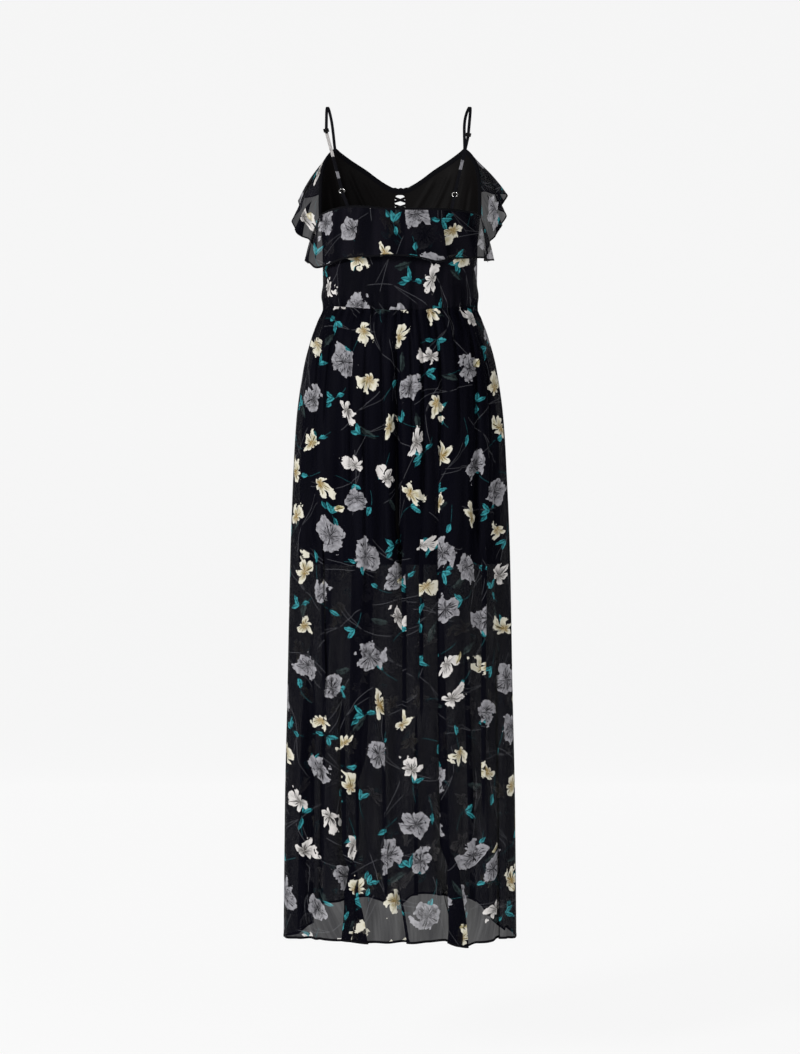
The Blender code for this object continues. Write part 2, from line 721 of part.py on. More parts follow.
def slider(row, finish):
    """The slider that sets the strap's length: a frame of wire, in front of the strap."""
    spots, down, outward, wide = strap_places(row)
    centre = spots["slider"] + outward * (STRAP_THICK / 2 + 2 * SEAM + WIRE)
    mesh = bmesh.new()
    frames = []
    for lift in (WIRE, -WIRE):
        for inset in (0.0, 2 * WIRE):
            corners = []
            for step in range(16):
                angle = 2 * math.pi * (step + 0.5) / 16
                c, s = math.cos(angle), math.sin(angle)
                x = math.copysign(abs(c) ** 0.5, c) * (SLIDER_WIDTH / 2 - inset)
                z = math.copysign(abs(s) ** 0.5, s) * (SLIDER_HEIGHT / 2 - inset)
                corners.append(mesh.verts.new(centre + wide * x + down * z + outward * lift))
            frames.append(corners)
    outer_top, inner_top, outer_low, inner_low = frames
    sides = ((outer_top, inner_top), (inner_low, outer_low), (outer_low, outer_top), (inner_top, inner_low))
    for one, two in sides:
        for k in range(16):
            mesh.faces.new((one[k - 1], one[k], two[k], two[k - 1]))
    return finished(sided("slider", row.side), mesh, finish)


# ---------------------------------------------------------------- the dress


def main():
    clear_scene()
    chiffon = material("printed_chiffon", (0.010, 0.010, 0.016), 0.75, alpha=0.9)
    lining = material("black_lining", (0.008, 0.007, 0.007), 0.65)
    lacing = material("black_lace_cord", (0.006, 0.006, 0.008), 0.7)
    pale_metal = material("pale_metal", (0.70, 0.70, 0.69), 0.25, 1.0)
    dark_metal = material("dark_metal", (0.03, 0.03, 0.03), 0.35, 0.8)

    for half in ("back", "front"):
        bodice(half, chiffon)
        waist_casing(half, chiffon)
        skirt(half, chiffon)
        bodice_lining(half, lining)
        slip(half, lining)
    flounce("flounce_back", "back", 0.0, 1.0, BACK_WAVES, BACK_LEAN, 56, chiffon)
    middle = across_at(BODY, "front", FLOUNCE_PARTS, front_edge(0.5))
    flounce("flounce_front_right", "front", 0.0, middle, FRONT_WAVES, FRONT_LEAN, 44, chiffon)
    flounce("flounce_front_left", "front", 1.0, 1 - middle, FRONT_WAVES, FRONT_LEAN, 44, chiffon)

    keyhole = keyhole_cutter()
    for name in ("bodice_front", "lining_bodice_front"):
        cut(bpy.data.objects[name], keyhole)
    lace("lace_a", -1, lacing)
    lace("lace_b", 1, lacing)
    for row in STRAPS:
        strap(row, chiffon)
        slider(row, dark_metal)
        ring(row, pale_metal)
        ring_loop(row, chiffon)


main()
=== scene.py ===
# %% [markdown]
# # A sheer printed maxi dress
#
# This notebook dresses a packed model of a camisole maxi dress. The model already holds every
# piece at its real size as a stiff solid. Here each piece of cloth gets a thin sheet on the same
# form, with gathers, creases, rolled hems and a printed chiffon, and each metal or cord piece
# gets its own careful model. All sizes are in metres, +Z is up, and the back of the dress
# faces -Y.

# %% Load the packed dress
import math
from collections import namedtuple
from functools import partial

import bpy
import numpy as np
from mathutils import Matrix, Vector


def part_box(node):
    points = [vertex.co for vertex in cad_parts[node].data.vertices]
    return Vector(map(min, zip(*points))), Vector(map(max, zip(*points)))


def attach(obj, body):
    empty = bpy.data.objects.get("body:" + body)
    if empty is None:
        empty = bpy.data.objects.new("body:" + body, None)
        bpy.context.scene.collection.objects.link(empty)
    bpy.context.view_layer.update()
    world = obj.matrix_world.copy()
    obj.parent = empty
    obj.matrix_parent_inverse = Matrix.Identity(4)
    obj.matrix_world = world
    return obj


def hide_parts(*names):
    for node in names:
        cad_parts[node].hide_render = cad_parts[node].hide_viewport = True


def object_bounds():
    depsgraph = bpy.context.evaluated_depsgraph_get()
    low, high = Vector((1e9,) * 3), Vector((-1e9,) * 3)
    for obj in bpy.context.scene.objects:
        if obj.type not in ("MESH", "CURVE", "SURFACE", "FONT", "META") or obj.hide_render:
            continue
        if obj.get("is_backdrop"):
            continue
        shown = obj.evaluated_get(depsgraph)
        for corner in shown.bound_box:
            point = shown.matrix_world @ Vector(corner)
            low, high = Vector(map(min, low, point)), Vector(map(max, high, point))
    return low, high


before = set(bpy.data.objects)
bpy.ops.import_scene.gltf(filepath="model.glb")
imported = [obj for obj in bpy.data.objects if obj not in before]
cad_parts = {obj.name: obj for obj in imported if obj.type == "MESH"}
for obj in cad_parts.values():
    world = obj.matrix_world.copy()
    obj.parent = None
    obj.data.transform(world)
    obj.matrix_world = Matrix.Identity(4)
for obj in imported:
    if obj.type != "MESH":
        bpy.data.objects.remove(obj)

cad_box = [list(corner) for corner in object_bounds()]
print("nodes:", len(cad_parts), "box:", cad_box)

# %% [markdown]
# ## The camera
#
# The dress is seen straight from behind, from a little over three metres away and from half its
# height, as a product is usually shown. A long lens keeps the sides parallel.

# %% Camera
CAMERA_AWAY = 3.2
CAMERA_HEIGHT = -0.714

scene = bpy.context.scene
bpy.ops.object.camera_add(
    location=(0.0, -CAMERA_AWAY, CAMERA_HEIGHT), rotation=(math.pi / 2, 0.0, 0.0)
)
camera = bpy.context.object
camera.data.sensor_fit = "VERTICAL"
camera.data.sensor_height = 36.0
camera.data.lens = 64.28
scene.camera = camera
print("camera lens:", camera.data.lens)

# %% [markdown]
# ## Writing materials as sums
#
# A procedural print needs many small sums. Wired by hand, its nodes are hard to read, so a small
# class wraps a node's output, and Python's own operators then add the Math nodes.


# %% Shader maths
class Term:
    """A value inside a material. Arithmetic on it adds the nodes that work it out."""

    def __init__(self, paint, socket):
        self.paint = paint
        self.socket = socket

    def maths(self, operation, *others):
        return self.paint.node("ShaderNodeMath", {"operation": operation}, self, *others)

    def __add__(self, other):
        return self.maths("ADD", other)

    def __sub__(self, other):
        return self.maths("SUBTRACT", other)

    def __rsub__(self, other):
        return self.paint.node("ShaderNodeMath", {"operation": "SUBTRACT"}, other, self)

    def __mul__(self, other):
        return self.maths("MULTIPLY", other)

    def __truediv__(self, other):
        return self.maths("DIVIDE", other)

    def __pow__(self, other):
        return self.maths("POWER", other)

    def __gt__(self, other):
        return self.maths("GREATER_THAN", other)

    def __lt__(self, other):
        return self.maths("LESS_THAN", other)

    def __abs__(self):
        return self.maths("ABSOLUTE")

    __radd__ = __add__
    __rmul__ = __mul__


class Paint:
    """A material under construction, with its Principled shader ready."""

    def __init__(self, name, roughness=0.5, metallic=0.0):
        self.material = bpy.data.materials.new(name)
        self.material.use_nodes = True
        self.tree = self.material.node_tree
        self.shader = self.tree.nodes["Principled BSDF"]
        self.set("Roughness", roughness)
        self.set("Metallic", metallic)

    def set(self, name, value):
        """Set or link one input of the Principled shader."""
        self.wire(self.shader.inputs[name], value)

    def wire(self, socket, value):
        if isinstance(value, Term):
            self.tree.links.new(value.socket, socket)
        elif value is not None:
            socket.default_value = value

    def node(self, kind, settings, *values, out=0):
        """Add a node, make its settings, then set or link its inputs in their order."""
        made = self.tree.nodes.new(kind)
        for name, value in settings.items():
            if name == "stops":
                self.fill_ramp(made.color_ramp, value)
            else:
                setattr(made, name, value)
        for place, value in enumerate(values):
            self.wire(made.inputs[place], value)
        return Term(self, made.outputs[out])

    def fill_ramp(self, ramp, stops):
        while len(ramp.elements) < len(stops):
            ramp.elements.new(1.0)
        for element, (position, colour) in zip(ramp.elements, stops):
            element.position = position
            element.color = colour

    def uv(self, name):
        return self.node("ShaderNodeUVMap", {"uv_map": name})

    def object_place(self):
        return self.node("ShaderNodeTexCoord", {}, out=3)

    def vector(self, operation, *values, out=0):
        return self.node("ShaderNodeVectorMath", {"operation": operation}, *values, out=out)

    def turn(self, place, angle):
        settings = {"rotation_type": "Z_AXIS"}
        return self.node("ShaderNodeVectorRotate", settings, place, None, None, angle)

    def parts(self, place):
        split = self.node("ShaderNodeSeparateXYZ", {}, place)
        return [Term(self, socket) for socket in split.socket.node.outputs]

    def noise(self, place, scale, detail=2.0, roughness=0.5, flat=False):
        """Soft noise; flat noise takes less work and suits a place on a cloth's cut."""
        settings = {"noise_dimensions": "2D" if flat else "3D"}
        return self.node("ShaderNodeTexNoise", settings, place, None, scale, detail, roughness)

    def step(self, value, low, high):
        """0 below low and 1 above high, and smooth between them."""
        settings = {"interpolation_type": "SMOOTHSTEP"}
        return self.node("ShaderNodeMapRange", settings, value, low, high, 0.0, 1.0)

    def mix(self, share, one, two):
        settings = {"data_type": "RGBA"}
        return self.node(
            "ShaderNodeMix", settings, share, None, None, None, None, None, one, two, out=2
        )

    def ramp(self, value, *stops):
        return self.node("ShaderNodeValToRGB", {"stops": stops}, value)

    def tones(self, share, dark, light, specular=0.5):
        """A base colour between two close tones, and how strongly it shines."""
        self.set("Base Color", self.mix(share, colour(*dark), colour(*light)))
        self.set("Specular IOR Level", specular)

    def bump(self, height, distance):
        self.set("Normal", self.node("ShaderNodeBump", {}, 1.0, distance, None, height))


def colour(red, green, blue):
    """A colour given in the 0 to 255 steps of a colour chart, as linear light."""
    steps = [level / 255 for level in (red, green, blue)]
    linear = [s / 12.92 if s <= 0.04045 else ((s + 0.055) / 1.055) ** 2.4 for s in steps]
    return (*linear, 1.0)


print("mid grey as linear light:", round(colour(128, 128, 128)[0], 3))

# %% [markdown]
# ## Scattering motifs over cloth
#
# A tossed print has no rows to the eye, but it repeats. The cloth is divided into the cells of a
# turned grid, and each cell holds one motif, moved and turned by its own chances. Several grids
# with different turns and sizes lie over each other, so no row shows.


# %% A scattered print
class PrintedCloth(Paint):
    """Paint with the motifs of a floral print. Places are in metres on the cloth's cut."""

    def scatter(self, place, cell, turn, seed, loose):
        """The place measured from the motif of its cell, and two chances of that cell."""
        x, y, _ = self.parts(self.vector("SCALE", self.turn(place, turn), None, None, 1 / cell))
        y = y + seed * 1.7
        row = y.maths("FLOOR")
        x = x + seed + (row * 0.5).maths("FRACT")
        corner = self.node("ShaderNodeCombineXYZ", {}, x.maths("FLOOR"), row, seed)
        chance = self.node("ShaderNodeTexWhiteNoise", {"noise_dimensions": "3D"}, corner)
        chances = Term(self, chance.socket.node.outputs[1])
        inside = self.node("ShaderNodeCombineXYZ", {}, x.maths("FRACT"), y.maths("FRACT"))
        middle = (-(cell - loose) / 2, -(cell - loose) / 2, 0.0)
        spot = self.vector("MULTIPLY_ADD", inside, (cell, cell, 0.0), middle)
        spot = self.vector("MULTIPLY_ADD", chances, (-loose, -loose, 0.0), spot)
        spot = self.turn(spot, chance * (2 * math.pi))
        return spot, self.parts(chances)[2], chance

    def round_place(self, spot):
        """How far a place is from the motif's middle, and in which direction."""
        x, y, _ = self.parts(spot)
        return self.vector("LENGTH", spot, out=1), y.maths("ARCTAN2", x)

    def roughen(self, place):
        """The unevenness that all the motifs share, worked out once."""
        self.ragged = self.noise(place, 140.0, 3.0, 0.6, flat=True) - 0.5
        self.sway = self.noise(place, 36.0, 1.0, flat=True) - 0.5

    def rays(self, spot, place, fine):
        """Noise drawn out into rays from the motif's middle."""
        away = self.vector("SCALE", self.vector("NORMALIZE", spot), None, None, fine)
        drawn_out = self.vector("MULTIPLY_ADD", place, (26.0, 26.0, 0.0), away)
        return self.noise(drawn_out, 1.0, 3.0, flat=True)

    def strokes(self, rays, share, most, least):
        """Dark strokes that crowd at the motif's middle and thin out towards its edge."""
        return self.step(most - least * share - rays, 0.0, 0.07)

    def rose(self, spot, place, radius):
        """A full ragged flower: how much it covers, and its shade."""
        away, angle = self.round_place(spot)
        lobes = (angle * 3.0 + self.sway * 11.0).maths("COSINE")
        edge = radius * (0.92 + 0.13 * lobes + 0.55 * self.ragged + 1.05 * self.sway)
        share = away / edge
        rays = self.rays(spot, place, 6.5)
        drawn = self.strokes(rays, share, 0.60, 0.34)
        ring = 0.55 + 0.16 * (angle * 5.0 + self.sway * 14.0).maths("COSINE")
        fold = (1.0 - self.step(abs(share - ring), 0.01, 0.09)) * self.step(rays, 0.62, 0.44)
        gap = self.step(lobes, -0.70, -1.0) * self.step(share, 0.25, 0.6)
        shade = 0.52 + 0.28 * share + 1.1 * self.ragged - 0.70 * drawn - 0.50 * fold - 0.30 * gap
        return self.step(edge - away, 0.0, 0.0009), shade

    def lily(self, spot, place, radius, chance):
        """An open flower of five narrow petals: how much it covers, its shade and its heart."""
        away, angle = self.round_place(spot)
        petals = abs((angle * 2.5 + self.sway * 6.0).maths("COSINE"))
        nearer = 0.80 + 0.26 * (angle + chance * 40.0).maths("COSINE")
        nearer = nearer + 0.22 * (angle * 2.0 + chance * 93.0).maths("COSINE")
        edge = radius * nearer * (0.27 + 0.77 * petals**0.75)
        edge = edge * (1.02 + 0.85 * self.ragged + 0.9 * self.sway)
        share = away / edge
        rays = self.rays(spot, place, 6.5)
        drawn = self.strokes(rays, share, 0.60, 0.34)
        rim = self.step(share, 0.50, 0.90)
        shade = 0.62 + 0.30 * rim + 0.7 * self.ragged - 0.62 * drawn
        heart = (1.0 - self.step(away, radius * 0.10, radius * 0.50)) * self.step(rays, 0.62, 0.46)
        return self.step(edge - away, 0.0, 0.0008), shade, heart

    def leaf(self, spot, turn, length, half_width, bend):
        """A pointed leaf from the motif's middle: how much it covers, and its shade."""
        x, y, _ = self.parts(self.turn(spot, turn))
        share = x / length
        bow = share * (1.0 - share) * 4.0
        across = y - share * share * bend
        off = abs(across)
        lit = self.step(across, -0.3 * half_width, 0.5 * half_width)
        vein = 1.0 - self.step(off, 0.0002, 0.0010)
        shade = 0.45 + 0.45 * lit + 1.6 * self.ragged - 0.5 * vein
        edge = bow**1.3 * half_width + self.ragged * (1.1 * half_width)
        return self.step(edge - off, 0.0, 0.0008) * (bow > 0.02), shade

    def stem(self, spot, turn, length, bend):
        """A thin bowed stem from the motif's middle."""
        x, y, _ = self.parts(self.turn(spot, turn))
        share = x / length
        line = 1.0 - self.step(abs(y - share * share * bend), 0.0002, 0.0008)
        return line * self.step(share * (1.0 - share), 0.0, 0.10)


print("motifs:", [name for name in vars(PrintedCloth) if not name.startswith("_")])

# %% [markdown]
# ## Printed chiffon
#
# Chiffon is so open that about a twelfth of the light goes straight through one layer, printed or
# not. A sheet here has two faces, so each face lets the square root of that through. The ink
# doesn't close the holes: a flower on a single layer stays as sheer as the black ground. The
# print is a generic toss of grey roses, cream and white lilies, buds, teal leaves and thin stems.

# %% Print and chiffon
THROUGH = 0.080  # share of light that passes one layer of chiffon
FACE_ALPHA = 1.0 - math.sqrt(THROUGH)
CRINKLE = 0.13  # how unevenly the crinkled cloth covers
STREAK = 0.20  # the same along its soft lengthwise folds

GROUND = colour(7, 7, 15)
# Painted shade: each pair below is a darker and a lighter tone of the ground. Mixed along soft
# lengthwise bands, the darker tone stands for the shade of folds and the lighter for their lit
# crests.
SKIRT_GROUND_PAINTED_FOLD_SHADE = (colour(6, 6, 14), colour(10, 10, 18))
BODICE_GROUND_PAINTED_FOLD_SHADE = (colour(9, 9, 16), colour(18, 17, 24))
STEM = colour(96, 97, 102)
DIM_LEAF = colour(48, 60, 60)
TEAL_DARK = colour(14, 70, 78)
TEAL_LIGHT = colour(62, 152, 160)
ROSE_SHADES = (
    (0.02, colour(24, 24, 28)),
    (0.45, colour(112, 111, 116)),
    (0.90, colour(166, 165, 170)),
)
CREAM_SHADES = (
    (0.05, colour(64, 54, 30)),
    (0.42, colour(172, 160, 112)),
    (0.80, colour(224, 220, 204)),
)
WHITE_SHADES = (
    (0.05, colour(48, 46, 48)),
    (0.42, colour(160, 157, 156)),
    (0.80, colour(222, 218, 215)),
)
# The further leaves of a sprig: how far each is turned, its length and how far it is moved.
SPRIGS = ((0.6, 0.023, 0.000), (2.7, 0.017, 0.004), (-0.9, 0.016, -0.008))
OCHRE = colour(138, 108, 40)
UMBER = colour(66, 62, 56)


def printed_cloth(name, ground_with_painted_shade):
    """Black crepe chiffon with the scattered floral print, on a ground of two close tones mixed by
    soft lengthwise bands of noise: a painted shade of folds.
    """
    paint = PrintedCloth(name, roughness=0.62)
    place = paint.uv("cut")
    painted_fold_shade_and_cover = paint.noise(paint.vector("MULTIPLY", place, (42.0, 5.0, 0.0)), 1.0, 2.0, flat=True)
    swell = paint.node("ShaderNodeTexNoise", {}, place, None, 7.0, 1.0, out=1)
    place = paint.vector("MULTIPLY_ADD", swell, (0.036, 0.036, 0.0), place)
    paint.roughen(place)
    # Painted shade: soft lengthwise bands of noise move the ground between its darker and lighter
    # tone, as folds would shade it. The same bands also make the cover uneven further down.
    shown = paint.mix(paint.step(painted_fold_shade_and_cover, 0.36, 0.64), *ground_with_painted_shade)

    for cell, turn, seed, sweep in ((0.110, 0.5, 3.0, 0.014), (0.130, 1.9, 5.0, -0.010)):
        spot, _, _ = paint.scatter(place, cell, turn, seed, cell * 0.3)
        line = paint.stem(spot, 0.0, 0.074, sweep)
        line = line.maths("MAXIMUM", paint.stem(spot, 0.20, 0.056, 0.4 * sweep) * 0.7)
        line = line.maths("MAXIMUM", paint.stem(spot, 2.8, 0.052, -0.6 * sweep))
        shown = paint.mix(line * 0.50, shown, STEM)

    spot, pick, _ = paint.scatter(place, 0.113, 2.3, 7.0, 0.04)
    cover, shade = paint.leaf(spot, 0.0, 0.036, 0.0056, 0.008)
    cover = cover * (pick > 0.35)
    shown = paint.mix(cover, shown, paint.mix(shade, GROUND, DIM_LEAF))

    # Teal leaves lie in small loose sprigs: one is always there, and the others by chance.
    spot, pick, chance = paint.scatter(place, 0.074, 0.9, 11.0, 0.026)
    cover, shade = paint.leaf(spot, 0.0, 0.0205, 0.0046, 0.004)
    for sprig, (swing, size, moved) in enumerate(SPRIGS):
        from_here = paint.vector("ADD", spot, (moved, moved / 2, 0.0))
        extra, extra_shade = paint.leaf(from_here, swing, size, 0.0041, -0.005)
        extra = extra * (pick > 0.35 + 0.17 * sprig)
        shade = paint.mix(extra, shade, extra_shade - 0.15 * sprig)
        cover = cover.maths("MAXIMUM", extra)
    stalk = paint.stem(spot, math.pi - 0.3, 0.030, 0.006)
    cover = (cover + stalk * 0.30) * (chance > 0.14)
    shown = paint.mix(cover, shown, paint.mix(shade, TEAL_DARK, TEAL_LIGHT))

    # Roses and lilies share one grid, so that none lies on another.
    spot, pick, chance = paint.scatter(place, 0.0735, 0.35, 17.0, 0.022)
    cover, shade = paint.rose(spot, place, chance * 0.005 + 0.0210)
    cover = cover * (pick > 0.12) * (pick < 0.54)
    shown = paint.mix(cover, shown, paint.ramp(shade, *ROSE_SHADES))

    foreshorten = paint.node("ShaderNodeCombineXYZ", {}, 1.0, chance * 0.55 + 0.95)
    cover, shade, heart = paint.lily(
        paint.vector("MULTIPLY", spot, foreshorten), place, chance * 0.004 + 0.0215, chance
    )
    cover = cover * (pick > 0.54)
    cream = paint.mix(heart, paint.ramp(shade, *CREAM_SHADES), OCHRE)
    white = paint.mix(heart * 0.8, paint.ramp(shade, *WHITE_SHADES), UMBER)
    shown = paint.mix(cover, shown, paint.mix(pick > 0.75, white, cream))

    spot, pick, _ = paint.scatter(place, 0.163, 0.75, 29.0, 0.10)
    cover, shade = paint.leaf(spot, 0.0, 0.019, 0.0062, 0.0)
    cover = cover * (pick > 0.5)
    shown = paint.mix(cover, shown, paint.ramp(shade, *CREAM_SHADES))

    paint.set("Base Color", shown)
    paint.set("Specular IOR Level", 0.02)
    crinkle = paint.noise(paint.vector("MULTIPLY", place, (210.0, 16.0, 0.0)), 1.0, 3.0, flat=True)
    cover = crinkle * CRINKLE + painted_fold_shade_and_cover * STREAK
    paint.set("Alpha", cover + (FACE_ALPHA - (CRINKLE + STREAK) / 2))
    crepe = paint.noise(place, 2300.0, 1.0, flat=True)
    paint.bump(crepe, 0.00004)
    return paint.material


def folded_cloth():
    """Chiffon folded four times for the straps, black but for a white and two grey patches."""
    paint = PrintedCloth("folded_chiffon", roughness=0.8)
    place = paint.uv("cut")
    across, along, _ = paint.parts(place)
    paint.roughen(place)
    cloudy = paint.noise(place, 300.0, 1.0, flat=True)
    shown = paint.mix(cloudy, colour(7, 7, 10), colour(20, 20, 25))
    rays = paint.noise(paint.vector("MULTIPLY", place, (900.0, 130.0, 0.0)), 1.0, 2.0)
    frayed = paint.sway * 0.010 + paint.ragged * 0.006
    left, right = across < 0.5, across > 0.5
    for middle, reach, shades, strap in (
        (-0.048, 0.027, WHITE_SHADES, left),
        (-0.114, 0.008, ROSE_SHADES, left),
        (-0.081, 0.012, ROSE_SHADES, right),
    ):
        edge = reach + frayed - abs(along - middle)
        cover = paint.step(edge, 0.0, 0.0012) * strap
        shown = paint.mix(cover, shown, paint.ramp(rays, *shades))
    paint.set("Base Color", shown)
    paint.set("Specular IOR Level", 0.06)
    paint.bump(paint.noise(place, 900.0, 2.0), 0.0002)
    return paint.material


chiffon = printed_cloth("printed_chiffon", SKIRT_GROUND_PAINTED_FOLD_SHADE)
lined_chiffon = printed_cloth("lined_chiffon", BODICE_GROUND_PAINTED_FOLD_SHADE)
strap_cloth = folded_cloth()
print("alpha of one face:", round(FACE_ALPHA, 3))

# %% [markdown]
# ## The plain finishes
#
# The lining is a soft knit, warm black beside the blue-black chiffon. Hems and bindings are
# chiffon rolled over itself, too thick to see through. The rings are pale bright metal, and the
# sliders are coated black.


# %% Lining, hems, cord and metal
def lining_cloth():
    paint = Paint("black_lining", roughness=0.62)
    place = paint.uv("cut")
    paint.tones(paint.noise(place, 22.0, 3.0), (9, 8, 8), (15, 13, 13), 0.06)
    paint.bump(paint.noise(place, 1400.0, 1.0, flat=True), 0.00008)
    return paint.material


def rolled_cloth():
    paint = Paint("rolled_chiffon", roughness=0.8)
    place = paint.object_place()
    paint.tones(paint.noise(place, 700.0), (5, 5, 8), (11, 11, 15), 0.06)
    paint.bump(paint.noise(place, 900.0, 3.0), 0.0002)
    return paint.material


def cord_cloth():
    paint = Paint("black_cord", roughness=0.7)
    place = paint.object_place()
    strands = paint.noise(paint.vector("MULTIPLY", place, (900.0, 900.0, 500.0)), 1.0, 2.0)
    paint.tones(strands, (6, 6, 8), (16, 16, 19), 0.1)
    paint.bump(strands, 0.00025)
    return paint.material


def bright_metal():
    paint = Paint("pale_metal", metallic=1.0)
    worn = paint.noise(paint.object_place(), 600.0, 3.0)
    paint.tones(worn, (196, 195, 192), (236, 235, 232))
    paint.set("Roughness", worn * 0.25 + 0.1)
    return paint.material


def coated_metal():
    paint = Paint("dark_metal")
    worn = paint.noise(paint.object_place(), 500.0, 3.0)
    paint.tones(worn, (9, 9, 10), (24, 23, 23), 0.2)
    paint.set("Roughness", worn * 0.2 + 0.3)
    return paint.material


lining = lining_cloth()
rolled = rolled_cloth()
cord = cord_cloth()
pale_metal = bright_metal()
dark_metal = coated_metal()
print("finishes:", [m.name for m in (lining, rolled, cord, pale_metal, dark_metal)])

# %% [markdown]
# ## The studio
#
# The dress hangs in front of one pale sweep, a floor that curves up into a wall, so that there is
# no line behind it. Two wide lamps and an even pale sky give soft light with hardly a shadow. The
# sweep is a plane whose far edge is pulled up in edit mode and whose corner is beveled round.


# %% Sweep, lamps and sky
FLOOR = -1.62
SWEEP_BACK = 4.8
SWEEP_SIZE = 12.0
SWEEP_TALL = 6.0
WHITE = (1.0, 1.0, 1.0, 1.0)


def edit(operator, **settings):
    """One edit-mode operator, on what is selected."""
    bpy.ops.object.mode_set(mode="EDIT")
    operator(**settings)
    bpy.ops.object.mode_set(mode="OBJECT")


def choose_edges(mesh, test):
    """Select the edges whose two ends both pass a test."""
    for edge in mesh.edges:
        edge.select = all(test(mesh.vertices[v].co) for v in edge.vertices)


def studio():
    bpy.ops.object.select_all(action="DESELECT")
    middle = (0.0, SWEEP_BACK - SWEEP_SIZE / 2, FLOOR)
    bpy.ops.mesh.primitive_plane_add(size=SWEEP_SIZE, location=middle)
    sweep = bpy.context.object
    sweep.name = "studio_sweep"
    edit(bpy.ops.mesh.select_mode, type="EDGE")
    edit(bpy.ops.mesh.select_all, action="DESELECT")
    far = SWEEP_SIZE / 2 - 0.1
    choose_edges(sweep.data, lambda end: end.y > far)
    pulled = {"value": (0.0, 0.0, SWEEP_TALL)}
    edit(bpy.ops.mesh.extrude_region_move, TRANSFORM_OT_translate=pulled)
    choose_edges(sweep.data, lambda end: end.y > far and end.z < 0.1)
    edit(bpy.ops.mesh.bevel, offset=1.4, segments=24)
    bpy.ops.object.transform_apply()
    bpy.ops.object.shade_smooth()
    paint = Paint("studio_paper", roughness=0.95)
    grain = paint.noise(paint.object_place(), 3.0, 1.0)
    paint.set("Base Color", paint.mix(grain, (0.05, 0.05, 0.05, 1.0), (0.053, 0.053, 0.053, 1.0)))
    paint.set("Emission Color", WHITE)
    paint.set("Emission Strength", 0.880)
    sweep.data.materials.append(paint.material)
    sweep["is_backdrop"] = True
    return sweep


def lamp(name, place, aim, size, watts):
    bpy.ops.object.light_add(type="AREA", location=place)
    made = bpy.context.object
    made.name = name
    made.data.shape = "DISK"
    made.data.size = size
    made.data.energy = watts
    made.rotation_euler = (Vector(aim) - Vector(place)).to_track_quat("-Z", "Y").to_euler()


sweep = studio()
lamp("key_lamp", (-2.7, -2.3, 0.5), (0.0, 0.0, -0.7), 1.0, 122.0)
lamp("fill_lamp", (2.3, -2.5, -0.3), (0.0, 0.0, -0.8), 1.2, 40.0)
world = bpy.data.worlds.new("pale_sky")
world.use_nodes = True
sky = world.node_tree.nodes["Background"].inputs
sky["Color"].default_value = WHITE
sky["Strength"].default_value = 0.12
scene.world = world
scene.view_settings.view_transform = "Standard"
print("sweep faces:", len(sweep.data.polygons))

# %% [markdown]
# ## The form under the cloth
#
# The dress is filled out over one smooth form, given by sections down its length. Each section
# has a back half and a front half, both flattened ellipses. A sheet asks the form for the point
# that lies a given share of the way across a half, at a given height. The answers are tabulated
# once, because a sheet asks tens of thousands of times.

# %% Sections of the form
def table(text):
    """Rows of a table written as text, whose first line names the columns."""
    names, *lines = text.strip().split("\n")
    Row = namedtuple("Row", names)
    return [Row(*map(float, line.split())) for line in lines]


BODY = table("""
z half side_y back_y front_y square_back square_front
-0.0300 0.1300  0.020 -0.0840 0.084 2.2 2.2
-0.0850 0.1365  0.020 -0.0940 0.110 2.2 2.2
-0.1300 0.1375  0.018 -0.0980 0.121 2.2 2.2
-0.1870 0.1362  0.012 -0.1010 0.125 2.2 2.2
-0.2400 0.1318  0.005 -0.1000 0.117 2.2 2.2
-0.3000 0.1306  0.000 -0.0970 0.103 2.3 2.3
-0.3260 0.1300  0.000 -0.0950 0.097 2.3 2.3
-0.3460 0.1305  0.000 -0.0950 0.096 2.3 2.3
-0.3620 0.1385  0.000 -0.1000 0.101 2.3 2.3
-0.4046 0.1535 -0.002 -0.1080 0.109 2.3 2.3
-0.4470 0.1636 -0.004 -0.1135 0.115 2.3 2.2
-0.5320 0.1752 -0.008 -0.1195 0.125 2.3 2.2
-0.6170 0.1800 -0.012 -0.1225 0.132 2.3 2.1
-0.7650 0.1848 -0.022 -0.1255 0.143 2.4 2.0
-1.0000 0.1890 -0.038 -0.1290 0.156 2.4 2.0
-1.1700 0.1922 -0.048 -0.1320 0.163 2.5 2.0
-1.4200 0.1940 -0.060 -0.1355 0.171 2.5 2.0""")
UNDER = table("""
z half side_y back_y front_y square_back square_front
-0.320 0.1255  0.000 -0.0903 0.0915 2.3 2.3
-0.345 0.1255  0.000 -0.0903 0.0915 2.3 2.3
-0.362 0.1285  0.000 -0.0906 0.0930 2.3 2.3
-0.447 0.1520 -0.003 -0.0985 0.1010 2.3 2.2
-0.560 0.1660 -0.008 -0.1030 0.1100 2.3 2.2
-0.800 0.1715 -0.018 -0.1070 0.1210 2.3 2.1""")
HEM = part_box("skirt_back")[0].z  # the hem's lowest height
WAIST_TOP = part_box("waist_casing_front")[1].z
WAIST_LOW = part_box("waist_casing_front")[0].z
WAIST_DIP = 0.014  # how much lower the waist is in the middle of the back
SLIP_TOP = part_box("slip_back")[1].z
SLIP_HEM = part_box("slip_back")[0].z
print("waist:", round(WAIST_TOP, 4), round(WAIST_LOW, 4), "hem:", round(HEM, 4))


# %% Curves and bumps
def column(rows, name):
    return np.array([getattr(row, name) for row in rows])


